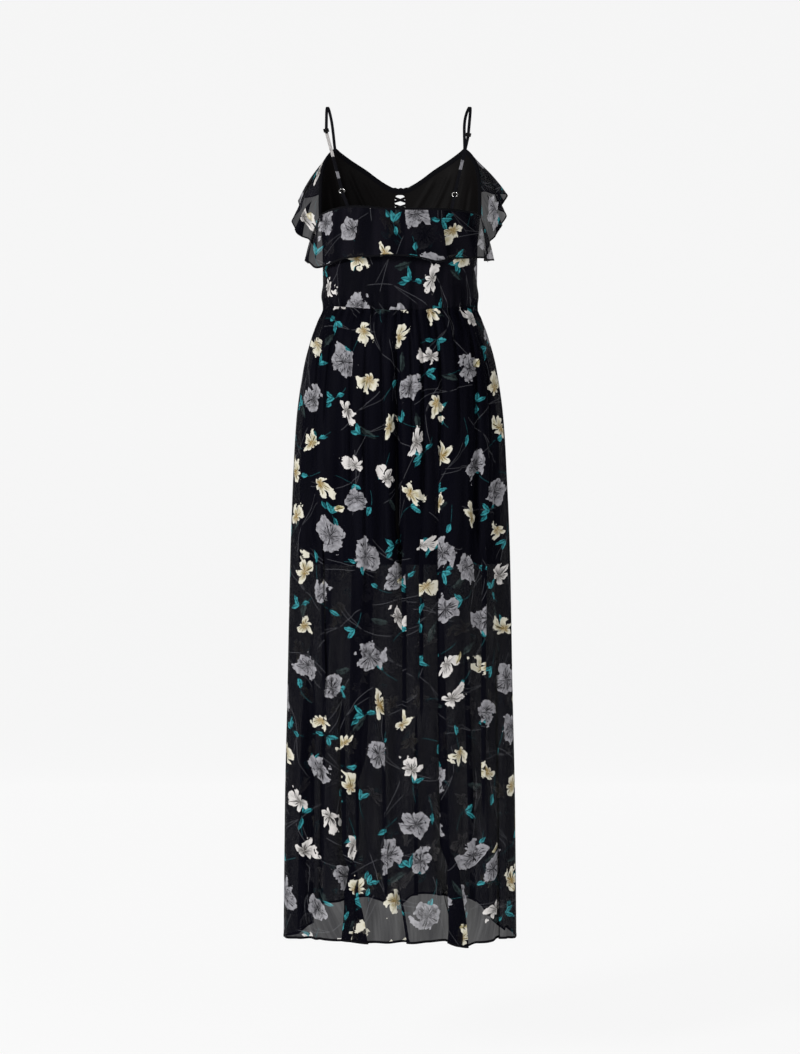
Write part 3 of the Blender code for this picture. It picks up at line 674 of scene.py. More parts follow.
def smooth(xs, ys, x):
    """A curve through a table's points with no overshoot, read at x."""
    if xs[0] > xs[-1]:
        xs, ys = xs[::-1], ys[::-1]
    steps = np.diff(ys) / np.diff(xs)
    slopes = np.zeros(len(xs))
    both = steps[:-1] * steps[1:] > 0
    slopes[1:-1][both] = 2 / (1 / steps[:-1][both] + 1 / steps[1:][both])
    slopes[0], slopes[-1] = steps[0], steps[-1]
    x = np.clip(x, xs[0], xs[-1])
    i = np.clip(np.searchsorted(xs, x) - 1, 0, len(xs) - 2)
    width = xs[i + 1] - xs[i]
    t = (x - xs[i]) / width
    ends = (1 + 2 * t) * (1 - t) ** 2 * ys[i] + t * t * (3 - 2 * t) * ys[i + 1]
    return ends + width * (t * (1 - t) ** 2 * slopes[i] - t * t * (1 - t) * slopes[i + 1])


def curve(rows, along, name, x):
    """One column of a table as a smooth curve, read at a value x of another column."""
    return smooth(column(rows, along), column(rows, name), x)


def bump(distance, half_width):
    """1 at the middle of a fold, falling smoothly to 0 at half_width on each side."""
    return np.cos(np.pi / 2 * np.clip(distance / half_width, -1, 1)) ** 2


def ease(value):
    """0 below 0 and 1 above 1, and smooth between them."""
    value = np.clip(value, 0, 1)
    return value * value * (3 - 2 * value)


def between(value, start, end=None):
    """0 at 0 and at 1, and 1 between them, after a rise and before a fall of these lengths."""
    return ease(value / start) * ease((1 - value) / (end or start))


def lengths(line):
    """The length of a line from its first point to each of its points."""
    return np.concatenate([[0], np.cumsum(np.linalg.norm(np.diff(line, axis=0), axis=1))])


def read_line(at, run, line):
    """Points of a line at some lengths along it."""
    return np.column_stack([np.interp(at, run, line[:, k]) for k in range(line.shape[1])])


def waist_dip(half, across):
    """How much lower the waist is here than at the side seams."""
    return WAIST_DIP * np.sin(np.pi * across) ** 2 if half == "back" else 0.0 * across


def waist_seam(half, across):
    """The height of the seam between bodice and skirt."""
    return WAIST_LOW - waist_dip(half, across)


print("bump at a quarter of its width:", round(float(bump(0.5, 1.0)), 3))


# %% The form as a table
class Form:
    """One half of a form, read at any share across it and any height."""

    SHARES = 321
    HEIGHTS = 361

    def __init__(self, rows, half):
        self.half = half
        self.top, self.low = rows[0].z, rows[-1].z
        heights = np.linspace(self.top, self.low, self.HEIGHTS)
        self.plan = np.array([self.section(rows, half, z) for z in heights])
        run = np.gradient(self.plan, axis=1)
        out = np.stack([run[..., 1], -run[..., 0]], axis=-1)
        self.out = out / np.linalg.norm(out, axis=-1, keepdims=True)
        steps = np.linalg.norm(np.diff(self.plan, axis=1), axis=-1)
        self.girth = steps.sum(axis=1)

    def section(self, rows, half, z):
        names = ("half", "side_y", f"{half}_y", f"square_{half}")
        width, side, reach, square = (curve(rows, "z", name, z) for name in names)
        angle = np.linspace(0, np.pi, 721)
        left = -1 if half == "back" else 1
        x = left * width * np.sign(np.cos(angle)) * np.abs(np.cos(angle)) ** (2 / square)
        y = side + (reach - side) * np.sin(angle) ** (2 / square)
        line = np.column_stack([x, y])
        run = lengths(line)
        return read_line(np.linspace(SEAM / 2, run[-1] - SEAM / 2, self.SHARES), run, line)

    def read(self, grid, across, z):
        """A grid of the form's values, read between its rows and columns."""
        last_row, last_column = self.HEIGHTS - 1, self.SHARES - 1
        i = np.clip((z - self.top) / (self.low - self.top) * last_row, 0, last_row - 0.001)
        j = np.clip(across * last_column, 0, last_column - 0.001)
        row, col = i.astype(int), j.astype(int)
        a, b = (i - row)[:, None], (j - col)[:, None]
        upper = grid[row, col] * (1 - b) + grid[row, col + 1] * b
        lower = grid[row + 1, col] * (1 - b) + grid[row + 1, col + 1] * b
        return upper * (1 - a) + lower * a

    def around(self, z):
        """The length of this half's outline at a height."""
        drops = np.linspace(0, self.top - self.low, self.HEIGHTS)
        return np.interp(self.top - z, drops, self.girth)

    def at(self, across, z, out_by):
        """Points of the form, moved out by a distance."""
        across, z, out_by = np.broadcast_arrays(*map(np.atleast_1d, (across, z, out_by)))
        level = z + waist_dip(self.half, across) * bump(z - WAIST_LOW, 0.10)
        plan = self.read(self.plan, across, level)
        plan = plan + self.read(self.out, across, level) * out_by[:, None]
        return np.column_stack([plan, z])


SEAM = 0.0003  # gap between pieces that are sewn together
form = {half: Form(BODY, half) for half in ("back", "front")}
under = {half: Form(UNDER, half) for half in ("back", "front")}
print("half girth at the hem:", round(float(form["back"].girth[-1]), 3))

# %% [markdown]
# ## Laying a sheet of cloth
#
# A sheet starts as a flat grid. Each of its points is moved to its place on the body, as a share
# of the way across and down, and the grid's UV map becomes the flat cut in metres, so the print
# keeps its real scale and is squeezed where the cloth is gathered. Solidify then gives the cloth
# its thickness, equal on both sides.

# %% Cloth helper
CLOTH = 0.0005  # thickness of one layer as modelled
HEM_THICK = 0.0012  # thickness of a rolled hem


def keep(piece, name, finish, slot, *nodes):
    """Name and finish a piece, let it ride, and let it stand for its nodes."""
    piece.name = piece.data.name = name
    piece.data.materials.clear()
    piece.data.materials.append(finish)
    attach(piece, "root")
    if nodes:
        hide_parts(*nodes)


def measured_cut(places, share, fall, columns, rows, aside):
    """A flat cut measured on the sheet itself: along each row from its middle, and down."""
    order = np.lexsort((share.round(5), fall.round(5)))
    grid = places[order].reshape(rows + 1, columns + 1, 3)
    run = np.cumsum(np.linalg.norm(np.diff(grid, axis=1), axis=2), axis=1)
    run = np.pad(run, ((0, 0), (1, 0)))
    run = run - run[:, columns // 2][:, None] + aside
    down = np.median(np.linalg.norm(np.diff(grid, axis=0), axis=2), axis=1)
    drop = np.concatenate([[0], np.cumsum(down)])[:, None]
    flat = np.empty((len(places), 2))
    flat[order] = np.stack([run, np.broadcast_to(-drop, run.shape)], axis=-1).reshape(-1, 2)
    return flat


def cut_size(sheet):
    """The width and length of a sheet's flat cut, and the area of one face of it."""
    flat = np.empty(len(sheet.data.loops) * 2)
    sheet.data.uv_layers["cut"].data.foreach_get("uv", flat)
    corners = flat.reshape(-1, 4, 2)
    one, two = corners[:, 2] - corners[:, 0], corners[:, 3] - corners[:, 1]
    area = np.abs(one[:, 0] * two[:, 1] - one[:, 1] * two[:, 0]).sum() / 4
    width, length = np.ptp(flat.reshape(-1, 2), axis=0)
    return (round(float(width), 3), round(float(length), 3)), round(float(area), 4)


def flat_cut(width, length, aside=0.0):
    """The flat cut of a straight piece. aside moves its print, so that no two are alike."""
    return lambda share, fall: np.column_stack([aside + share * width, -fall * length])


def foot_of(place, part):
    """The lowest part of a sheet, for its hem."""
    return lambda share, fall: place(share, 1 - part * (1 - fall))


def lay_cloth(columns, rows, place, cut, wall=CLOTH):
    """A sheet whose points and flat cut are given by functions of (share across, share down).

    In place of the second function, a number asks for a cut measured on the sheet itself, and
    says how far its print is moved aside.
    """
    bpy.ops.object.select_all(action="DESELECT")
    bpy.ops.mesh.primitive_grid_add(x_subdivisions=columns, y_subdivisions=rows, size=1.0)
    sheet = bpy.context.object
    mesh = sheet.data
    flat = np.empty(len(mesh.vertices) * 3)
    mesh.vertices.foreach_get("co", flat)
    flat = flat.reshape(-1, 3)
    share, fall = flat[:, 0] + 0.5, 0.5 - flat[:, 1]
    places = place(share, fall)
    mesh.vertices.foreach_set("co", places.ravel())
    corner = np.empty(len(mesh.loops), np.int32)
    mesh.loops.foreach_get("vertex_index", corner)
    mesh.uv_layers.active.name = "cut"
    if callable(cut):
        flat = cut(share, fall)
    else:
        flat = measured_cut(places, share, fall, columns, rows, cut)
    mesh.uv_layers.active.data.foreach_set("uv", flat[corner].ravel())
    mesh.update()
    thicken = sheet.modifiers.new("wall", "SOLIDIFY")
    thicken.thickness = wall
    thicken.offset = 0.0
    bpy.ops.object.modifier_apply(modifier="wall")
    bpy.ops.object.shade_smooth_by_angle(angle=math.radians(60))
    return sheet


print("cloth thickness:", CLOTH)

# %% [markdown]
# ## Gathers at the waist
#
# The skirt and the bodice are gathered onto an elastic casing. Real gathers are uneven: each has
# its own width, depth and length. They are drawn once for each half, from a fixed seed, and the
# bodice, the casing and the skirt all read the same list, so a gather runs through the seam.

# %% Gathers
Gather = namedtuple("Gather", "across half_width depth above below")
GATHERS = 28
GATHER_DEEP = 0.0054
GATHER_SWELL = 0.0022  # how far the cloth between the gathers stands out


def draw_gathers(seed):
    chance = np.random.default_rng(seed)
    rows = []
    for i in range(GATHERS):
        across = (i + 0.5 + chance.uniform(-0.26, 0.26)) / GATHERS
        half_width = chance.uniform(0.38, 0.58) / GATHERS
        depth = GATHER_DEEP * chance.uniform(0.55, 1.0)
        above = chance.uniform(0.012, 0.050)
        below = chance.uniform(0.040, 0.120) * (1.8 if i % 5 == 2 else 1.0)
        rows.append(Gather(across, half_width, depth, above, below))
    return rows


GATHER_ROWS = {"back": draw_gathers(4), "front": draw_gathers(9)}


def gathers(half, across, z):
    """How far the gathers move the cloth out, mostly inwards."""
    rise = z - waist_seam(half, across)
    total = GATHER_SWELL * bump(rise, 0.030) * (1 - bump(across, 0.02) - bump(1 - across, 0.02))
    for row in GATHER_ROWS[half]:
        above = 1 - np.clip(rise / row.above, 0, 1)
        below = 1 - np.clip(-rise / row.below, 0, 1)
        near = (above * below) ** 1.5
        total -= near * row.depth * bump(across - row.across, row.half_width)
    return np.maximum(total, GATHER_SWELL - GATHER_DEEP)


print("gathers a half:", GATHERS)

# %% [markdown]
# ## Folds, pleats and creases of the skirt
#
# Below the gathers the skirt falls in soft waves that deepen towards the hem. Where the cloth has
# more width than a wave can take, it turns under itself: a pleat lays three layers of sheer cloth
# over each other, and the eye sees a dark band. A pleat opens out of nothing, widens downwards,
# and lies to one side. The creases are soft troughs that run from one place to another and fade
# at both ends.

# %% Fold, pleat and crease tables
FOLDS = {"back": table("""
across half_width at_waist at_hip at_hem drift
0.085 0.040  0.001  0.003  0.005  0.000
0.165 0.036 -0.002 -0.006 -0.010  0.000
0.245 0.034  0.001  0.002  0.004  0.000
0.295 0.030 -0.002 -0.006 -0.009 -0.010
0.362 0.040  0.002  0.005  0.008  0.000
0.432 0.030 -0.002 -0.006 -0.006  0.000
0.485 0.034 -0.004 -0.011 -0.007  0.012
0.560 0.034  0.001  0.003  0.006  0.000
0.620 0.034 -0.003 -0.009 -0.009  0.012
0.690 0.044  0.002  0.006  0.012  0.000
0.765 0.030 -0.002 -0.009 -0.007  0.008
0.815 0.030  0.001  0.003  0.005  0.000
0.870 0.032 -0.002 -0.007 -0.007 -0.006
0.925 0.040  0.001  0.004  0.005  0.000"""), "front": table("""
across half_width at_waist at_hip at_hem drift
0.090 0.044  0.001  0.004  0.006  0.000
0.170 0.040 -0.002 -0.008 -0.010  0.006
0.255 0.044  0.001  0.005  0.009  0.000
0.345 0.040 -0.002 -0.008 -0.009  0.000
0.430 0.044  0.001  0.005  0.008  0.000
0.515 0.040 -0.002 -0.009 -0.010 -0.008
0.600 0.044  0.001  0.005  0.009  0.000
0.685 0.040 -0.002 -0.008 -0.009  0.006
0.765 0.042  0.001  0.004  0.008  0.000
0.845 0.040 -0.002 -0.008 -0.009 -0.006
0.920 0.040  0.001  0.004  0.006  0.000""")}
PLEATS = {"back": table("""
top_across top_z low_across low_z doubled_top doubled_low lies
0.222 -0.70 0.232 -1.02 0.005 0.006  1
0.293 -0.96 0.302 -1.35 0.005 0.007 -1
0.330 -1.24 0.341 -1.44 0.020 0.062  1
0.352 -1.08 0.356 -1.32 0.005 0.005 -1
0.438 -0.94 0.450 -1.36 0.004 0.006  1
0.487 -1.27 0.556 -1.47 0.003 0.004 -1
0.510 -0.70 0.515 -1.08 0.009 0.005  1
0.572 -0.68 0.576 -1.06 0.010 0.006 -1
0.630 -0.50 0.664 -1.40 0.011 0.015  1
0.608 -1.26 0.700 -1.48 0.003 0.005  1
0.698 -1.23 0.712 -1.44 0.022 0.046 -1
0.800 -0.66 0.797 -1.24 0.007 0.005  1
0.868 -0.86 0.874 -1.56 0.004 0.009 -1"""), "front": table("""
top_across top_z low_across low_z doubled_top doubled_low lies
0.120 -0.74 0.132 -1.56 0.006 0.012  1
0.290 -0.86 0.284 -1.56 0.008 0.014 -1
0.452 -0.98 0.460 -1.56 0.006 0.010  1
0.618 -0.64 0.622 -1.20 0.043 0.030 -1
0.740 -0.70 0.736 -1.56 0.006 0.010  1
0.815 -0.90 0.838 -1.60 0.028 0.060  1""")}
PLEAT_TURN = 0.009  # length of cloth on the way back under a pleat
PLEAT_RISE = 0.0030  # how far a pleat's upper layer is lifted, and its lower one sunk
CREASES = {"back": table("""
top_across top_z low_across low_z half_width height
0.147 -0.370 0.196 -0.64 0.012 -0.0040
0.215 -0.368 0.226 -0.56 0.010 -0.0034
0.312 -0.375 0.331 -0.70 0.011 -0.0040
0.369 -0.370 0.384 -0.86 0.010 -0.0042
0.425 -0.372 0.448 -0.62 0.010 -0.0034
0.482 -0.365 0.492 -0.84 0.022 -0.0095
0.540 -0.372 0.545 -0.60 0.009 -0.0036
0.585 -0.370 0.576 -0.72 0.014 -0.0066
0.655 -0.368 0.640 -0.80 0.015 -0.0080
0.720 -0.372 0.708 -0.58 0.010 -0.0034
0.800 -0.368 0.770 -0.76 0.017 -0.0080
0.868 -0.372 0.822 -0.70 0.011 -0.0044
0.975 -0.380 0.897 -0.70 0.010 -0.0030
0.226 -1.000 0.199 -1.56 0.012 -0.0036
0.563 -1.000 0.540 -1.30 0.010 -0.0030
0.645 -0.700 0.668 -1.42 0.010 -0.0050
0.750 -0.760 0.756 -1.20 0.010 -0.0044
0.904 -0.900 0.912 -1.56 0.010 -0.0034"""), "front": table("""
top_across top_z low_across low_z half_width height
0.130 -0.372 0.180 -0.70 0.012 -0.0040
0.240 -0.372 0.262 -0.90 0.014 -0.0060
0.350 -0.372 0.340 -1.05 0.012 -0.0050
0.455 -0.372 0.470 -0.76 0.016 -0.0070
0.560 -0.372 0.556 -0.90 0.011 -0.0040
0.660 -0.372 0.640 -0.72 0.014 -0.0060
0.770 -0.372 0.742 -0.90 0.012 -0.0046
0.880 -0.372 0.830 -0.76 0.012 -0.0040
0.205 -0.860 0.215 -1.56 0.010 -0.0046
0.395 -0.900 0.385 -1.56 0.010 -0.0040
0.560 -1.000 0.572 -1.56 0.010 -0.0042
0.880 -0.950 0.885 -1.56 0.010 -0.0036""")}
for name, kinds in (("folds:", FOLDS), ("pleats:", PLEATS), ("creases:", CREASES)):
    print(name, {half: len(rows) for half, rows in kinds.items()})


# %% Reading folds and creases
def folds(half, across, z):
    """How far the folds move the cloth out."""
    fall = (WAIST_LOW - z) / (WAIST_LOW - HEM)
    out_by = np.zeros(len(across))
    levels = np.array([0.0, 0.12, 0.35, 1.0])
    for row in FOLDS[half]:
        height = smooth(levels, np.array([0.0, row.at_waist, row.at_hip, row.at_hem]), fall)
        out_by += height * bump(across - row.across - row.drift * fall, row.half_width)
    return out_by


def turned_under(offset, reach):
    """1 at the near edge of a pleat, -1 at its far edge, and 0 well away on both sides."""
    inside = np.sin(np.pi * offset / PLEAT_TURN)
    outside = bump(np.clip((np.abs(offset) - PLEAT_TURN / 2) / reach, 0, 1), 1.0) * np.sign(offset)
    return -np.where(np.abs(offset) < PLEAT_TURN / 2, inside, outside)


def pleats(half, across, z):
    """How far the pleats move the cloth across, as a share of the half, and out."""
    girth = form[half].around(z)
    aside, out_by = np.zeros(len(across)), np.zeros(len(across))
    for row in PLEATS[half]:
        run = (row.top_z - z) / (row.top_z - row.low_z)
        middle = row.top_across + (row.low_across - row.top_across) * run
        doubled = row.doubled_top + (row.doubled_low - row.doubled_top) * np.clip(run, 0, 1) ** 2
        offset = (across - middle) * girth * row.lies
        part = between(run, 0.22, 0.16) * turned_under(offset, 0.022 + doubled)
        aside += row.lies * part * (doubled + PLEAT_TURN) / 2
        out_by += part * PLEAT_RISE
    return aside / girth, out_by


def creases(rows, across, z):
    """How far the creases move the cloth out."""
    out_by = np.zeros(len(across))
    for row in rows:
        run = (row.top_z - z) / (row.top_z - row.low_z)
        middle = row.top_across + (row.low_across - row.top_across) * run
        out_by += row.height * between(run, 0.18) * bump(across - middle, row.half_width)
    return out_by


print("deepest fold of the back:", column(FOLDS["back"], "at_hem").min())

# %% [markdown]
# ## The skirt
#
# Each half of the skirt is one flared width of chiffon, wider than the form by its gathers and
# pleats. Its flat cut is measured along its own rows, so the print keeps its size wherever the
# cloth is folded. The hem isn't level: its height is tabulated across each half.

# %% Skirt halves
SKIRT_GRID = (400, 108)
HEM_LINE = {
    "back": table("""
across z
0.000 -1.3960
0.133 -1.3908
0.282 -1.3892
0.393 -1.3933
0.524 -1.3919
0.660 -1.3908
0.696 -1.3970
0.743 -1.4002
0.775 -1.3945
0.838 -1.3932
0.856 -1.3905
1.000 -1.3960"""),
    "front": table("""
across z
0.000 -1.3960
0.108 -1.4050
0.203 -1.3900
0.239 -1.3900
0.263 -1.3792
0.293 -1.3700
0.372 -1.3700
0.465 -1.3735
0.492 -1.3865
0.523 -1.3918
0.558 -1.3815
0.588 -1.3760
0.729 -1.3755
0.748 -1.3900
0.769 -1.4000
0.803 -1.4010
0.869 -1.4120
1.000 -1.3960"""),
}


def hem_line(half, share):
    """How high the hem hangs, read where the pleats bring the cloth to lie."""
    aside, _ = pleats(half, share, np.full(len(share), HEM))
    return curve(HEM_LINE[half], "across", "z", share + aside)


def skirt_place(half, share, fall):
    """Where a point of the skirt hangs."""
    down = 0.55 * fall + 0.45 * fall**1.8
    z = (waist_seam(half, share) - SEAM / 2) * (1 - down) + hem_line(half, share) * down
    aside, tucked = pleats(half, share, z)
    off_seam = between(share, 0.04)
    out_by = tucked + gathers(half, share, z) + creases(CREASES[half], share, z)
    return form[half].at(share + off_seam * aside, z, folds(half, share, z) + off_seam * out_by)


for half, aside in (("back", 0.0), ("front", 1.31)):
    skirt = lay_cloth(*SKIRT_GRID, partial(skirt_place, half), aside)
    keep(skirt, f"skirt_{half}_cloth", chiffon, "printed_chiffon", f"skirt_{half}")
    size, area = cut_size(skirt)
    print(skirt.name, len(skirt.data.polygons), size, area)

# %% [markdown]
# ## Edges of the bodice
#
# The back is cut straight across. The front rises from each side seam up the armhole to the strap,
# then falls in a V to the middle, where its edge is drawn up in small puckers. The columns of the
# front's sheets crowd towards the armholes, where the edge is steepest.

# %% Edges
TOP_EDGE = {"front": table("""
across z
0.000 -0.1870
0.021 -0.1500
0.042 -0.1150
0.068 -0.0930
0.100 -0.0760
0.130 -0.0640
0.154 -0.0580
0.185 -0.0625
0.255 -0.0740
0.334 -0.0880
0.400 -0.1033
0.440 -0.1120
0.470 -0.1168
0.500 -0.1178"""), "back": table("""
across z
0.00 -0.1870
0.10 -0.1860
0.27 -0.1820
0.50 -0.1900
0.75 -0.1872
0.90 -0.1868
1.00 -0.1870""")}
PEAK = 0.154  # where the strap is sewn to the front's edge
PUCKER_LEVEL = 30  # the row of the form's girths that lies at the keyhole
PUCKER_PITCH = 0.0098
CROWD = 0.62  # how strongly the front's columns crowd


def top_edge(half, across):
    """The height of the top edge. The front's table covers one side, and the other mirrors it."""
    if half == "front":
        across = np.minimum(across, 1 - across)
    return curve(TOP_EDGE[half], "across", "z", across)


def puckers(half, across):
    """The small scallops of the front's edge above the keyhole."""
    if half == "back":
        return 0.0 * across
    side = (across - 0.497) * form["front"].girth[PUCKER_LEVEL]
    return 0.0009 * bump(side, 0.024) * np.cos(2 * np.pi * side / PUCKER_PITCH)


def crowded(half, share, fall):
    """Where a column of a bodice sheet lies; the front's crowd towards the armholes."""
    crowd = 0.0 if half == "back" else CROWD
    return share - crowd * (1 - fall) * np.sin(2 * np.pi * share) / (2 * np.pi)


print("front edge from", float(top_edge("front", 0.0)), "to", float(top_edge("front", 0.5)))

# %% [markdown]
# ## The bodice and its waist casing
#
# The chiffon bodice is close to the body at the top. It blouses a little over the waist, where it
# is gathered onto elastic and sewn to the skirt. The elastic runs in a narrow casing just inside,
# so from outside only the one pinched seam shows. All three read the same list of gathers.

# %% Bodice halves and casing
BODICE_CUT = {"back": (0.41, 0.162), "front": (0.45, 0.286)}
CASING_CUT = (0.42, 0.014)
V_SHARE = 0.66  # how much of a front's rectangle is left under the V neck and armholes
BODICE_GRID = (220, 72)
CASING_GRID = (280, 6)
BODICE_CREASES = {
    "back": table("""
top_across top_z low_across low_z half_width height
0.16 -0.236 0.20 -0.322 0.026 -0.0022
0.36 -0.250 0.33 -0.322 0.020 -0.0018
0.62 -0.245 0.60 -0.322 0.022 -0.0020
0.82 -0.232 0.77 -0.322 0.026 -0.0024"""),
    "front": table("""
top_across top_z low_across low_z half_width height
0.20 -0.215 0.26 -0.32 0.030 -0.0026
0.36 -0.235 0.40 -0.32 0.022 -0.0020
0.66 -0.230 0.60 -0.32 0.024 -0.0022
0.82 -0.212 0.74 -0.32 0.030 -0.0026"""),
}


def bodice_place(half, share, fall):
    across = crowded(half, share, fall)
    top = top_edge(half, across) + puckers(half, across) * (1 - fall) ** 6
    seam = waist_seam(half, across)
    z = top * (1 - fall) + (seam + SEAM / 2) * fall
    blouse = 0.0030 * bump(z - seam - 0.021, 0.021)
    worked = gathers(half, across, z) + creases(BODICE_CREASES[half], across, z)
    return form[half].at(across, z, blouse + between(across, 0.04) * worked)


def casing_place(half, share, fall):
    z = waist_seam(half, share) + (WAIST_TOP - WAIST_LOW) * (1 - fall)
    return form[half].at(share, z, gathers(half, share, z) - 0.0009)


bodices = {}
for half, aside in (("back", 2.07), ("front", 3.21)):
    bodice_cut = flat_cut(*BODICE_CUT[half], aside)
    bodice = lay_cloth(*BODICE_GRID, partial(bodice_place, half), bodice_cut)
    keep(bodice, f"bodice_{half}_cloth", lined_chiffon, "printed_chiffon", f"bodice_{half}")
    area = V_SHARE * math.prod(BODICE_CUT[half]) if half == "front" else None
    bodices[half] = bodice

    casing_cut = flat_cut(*CASING_CUT, aside + 0.3)
    casing = lay_cloth(*CASING_GRID, partial(casing_place, half), casing_cut)
    keep(casing, f"waist_casing_{half}_cloth", rolled, "printed_chiffon", f"waist_casing_{half}")
print("bodice faces:", {half: len(piece.data.polygons) for half, piece in bodices.items()})

# %% [markdown]
# ## The linings
#
# The bodice is lined with an opaque knit, and a short slip of the same cloth hangs under the skirt
# to mid thigh. From behind, the inside of the front lining shows above the back edge. It hangs a
# little slack, with soft creases that run from the straps towards the waist.

# %% Bodice lining and slip
LINING_CREASES = table("""
top_across top_z low_across low_z half_width height
0.170 -0.080 0.33 -0.230 0.030 -0.0032
0.235 -0.085 0.43 -0.215 0.022 -0.0026
0.120 -0.110 0.24 -0.290 0.028 -0.0030
0.330 -0.100 0.47 -0.180 0.016 -0.0020
0.840 -0.080 0.68 -0.225 0.030 -0.0034
0.770 -0.085 0.59 -0.205 0.020 -0.0026
0.885 -0.110 0.77 -0.290 0.028 -0.0030
0.680 -0.100 0.54 -0.185 0.016 -0.0020""")
SLIP_FOLDS = table("""
top_across top_z low_across low_z half_width height
0.14 -0.42 0.130 -0.9 0.060 -0.0050
0.27 -0.48 0.285 -0.9 0.050  0.0040
0.41 -0.43 0.430 -0.9 0.060 -0.0050
0.56 -0.50 0.550 -0.9 0.050  0.0036
0.70 -0.43 0.690 -0.9 0.060 -0.0052
0.86 -0.47 0.870 -0.9 0.055 -0.0040""")
LINING_IN = 0.00145  # from the chiffon in to the lining at their shared top edge
LINING = 0.0007  # thickness of the knit
LINING_CUT = {"back": (0.38, 0.156), "front": (0.41, 0.285)}
SLIP_CUT = (0.46, 0.445)
LINING_GRID = (150, 64)
SLIP_GRID = (110, 60)


def lining_place(half, share, fall):
    across = crowded(half, share, fall)
    z = top_edge(half, across) * (1 - fall) + (SLIP_TOP + SEAM / 2) * fall
    inside = LINING_IN + 0.0028 * fall + 0.0028 * np.sqrt(np.sin(np.pi * np.clip(fall, 0, 1)))
    rows = LINING_CREASES if half == "front" else ()
    return form[half].at(across, z, creases(rows, across, z) - inside)


def slip_place(half, share, fall):
    z = (SLIP_TOP - SEAM / 2) * (1 - fall) + SLIP_HEM * fall
    return under[half].at(share, z, between(share, 0.05) * creases(SLIP_FOLDS, share, z) * 0.7)


linings = {}
for half, cut in LINING_CUT.items():
    piece = lay_cloth(*LINING_GRID, partial(lining_place, half), flat_cut(*cut), wall=LINING)
    node = f"lining_bodice_{half}"
    keep(piece, f"{node}_cloth", lining, "black_lining", node)
    area = V_SHARE * math.prod(cut) if half == "front" else None
    linings[half] = piece

    place = partial(slip_place, half)
    columns, rows = SLIP_GRID
    hem = lay_cloth(columns, 4, foot_of(place, 0.034), flat_cut(0.46, 0.015), wall=2 * LINING)
    keep(hem, f"slip_{half}_hem", lining, "black_lining")
    slip = lay_cloth(columns, rows, place, flat_cut(*SLIP_CUT), wall=LINING)
    keep(slip, f"slip_{half}_cloth", lining, "black_lining", f"slip_{half}")
print("lining faces:", len(linings["front"].data.polygons))

# %% [markdown]
# ## The keyhole
#
# A slot in the middle of the front is laced across. It is cut through both layers by a Boolean
# with a slot-shaped block: a box whose upright edges are beveled until its ends are nearly round.

# %% Keyhole
KEYHOLE_WIDTH = 0.018
KEYHOLE_TOP = -0.1285
KEYHOLE_LOW = -0.1985


def keyhole_block():
    bpy.ops.object.select_all(action="DESELECT")
    middle = (KEYHOLE_TOP + KEYHOLE_LOW) / 2
    bpy.ops.mesh.primitive_cube_add(size=1.0, location=(0.0, 0.12, middle))
    block = bpy.context.object
    block.scale = (KEYHOLE_WIDTH, 0.12, KEYHOLE_TOP - KEYHOLE_LOW)
    bpy.ops.object.transform_apply()
    for edge in block.data.edges:
        one, two = (block.data.vertices[v].co for v in edge.vertices)
        edge.select = abs(one.y - two.y) > 0.1
    edit(bpy.ops.mesh.bevel, offset=0.0062, segments=8)
    return block


def cut_keyhole(piece, block):
    bpy.ops.object.select_all(action="DESELECT")
    piece.select_set(True)
    bpy.context.view_layer.objects.active = piece
    opening = piece.modifiers.new("keyhole", "BOOLEAN")
    opening.operation = "DIFFERENCE"
    opening.solver = "EXACT"
    opening.object = block
    bpy.ops.object.modifier_apply(modifier="keyhole")


block = keyhole_block()
for piece in (bodices["front"], linings["front"]):
    cut_keyhole(piece, block)
bpy.data.objects.remove(block, do_unlink=True)
print("faces round the keyhole:", len(bodices["front"].data.polygons))

# %% [markdown]
# ## Bound edges
#
# Chiffon, lining and flounce meet in one seam along the top edge, and it is bound with a narrow
# strip of chiffon folded over it. The strip is a sheet whose rows go up the outside, over the edge
# and down the inside, where the eye sees a darker band along the lining.

# %% Bindings
# The strip's turn over the edge: how far out of the chiffon, and how far above the edge.
BINDING_TURN = table("""
out_by rise
 0.0024 -0.0030
 0.0024 -0.0004
 0.0017  0.0004
 0.0003  0.0008
-0.0012  0.0004
-0.0022 -0.0006
-0.0028 -0.0040
-0.0030 -0.0088""")
BINDING_GRID = (300, 14)


def binding_place(half, share, fall):
    turns = np.linspace(0, 1, len(BINDING_TURN))
    out_by, rise = read_line(fall, turns, np.array(BINDING_TURN)).T
    across = crowded(half, share, 0.0)
    return form[half].at(across, top_edge(half, across) + puckers(half, across) + rise, out_by)


for half in ("back", "front"):
    binding = lay_cloth(*BINDING_GRID, partial(binding_place, half), flat_cut(0.42, 0.016))
    keep(binding, f"top_binding_{half}", rolled, "printed_chiffon")
print("binding turns:", len(BINDING_TURN))

# %% [markdown]
# ## The flounce
#
# A straight strip of chiffon is sewn along the top edge and falls free. Over the arms it leans out
# and breaks into deep waves, so that from behind its single layer shows grey where nothing is
# behind it, and near black where two waves overlap. Each stretch gets large waves from a table
# and small ripples near its hem.

# %% Flounce tables
FLOUNCE_WIDTH = 0.086
FLOUNCE_GRID = (330, 52)
FLOUNCE_ROUNDS = 0.45  # how much it bellies out on its way down
FLOUNCE_PARTS = 0.020  # the front flounce ends this far from the middle
FLOUNCE_STANDS_OFF = 0.0016
RIPPLES = 13  # in each stretch, near its hem
TUCK_RISE = 0.0020

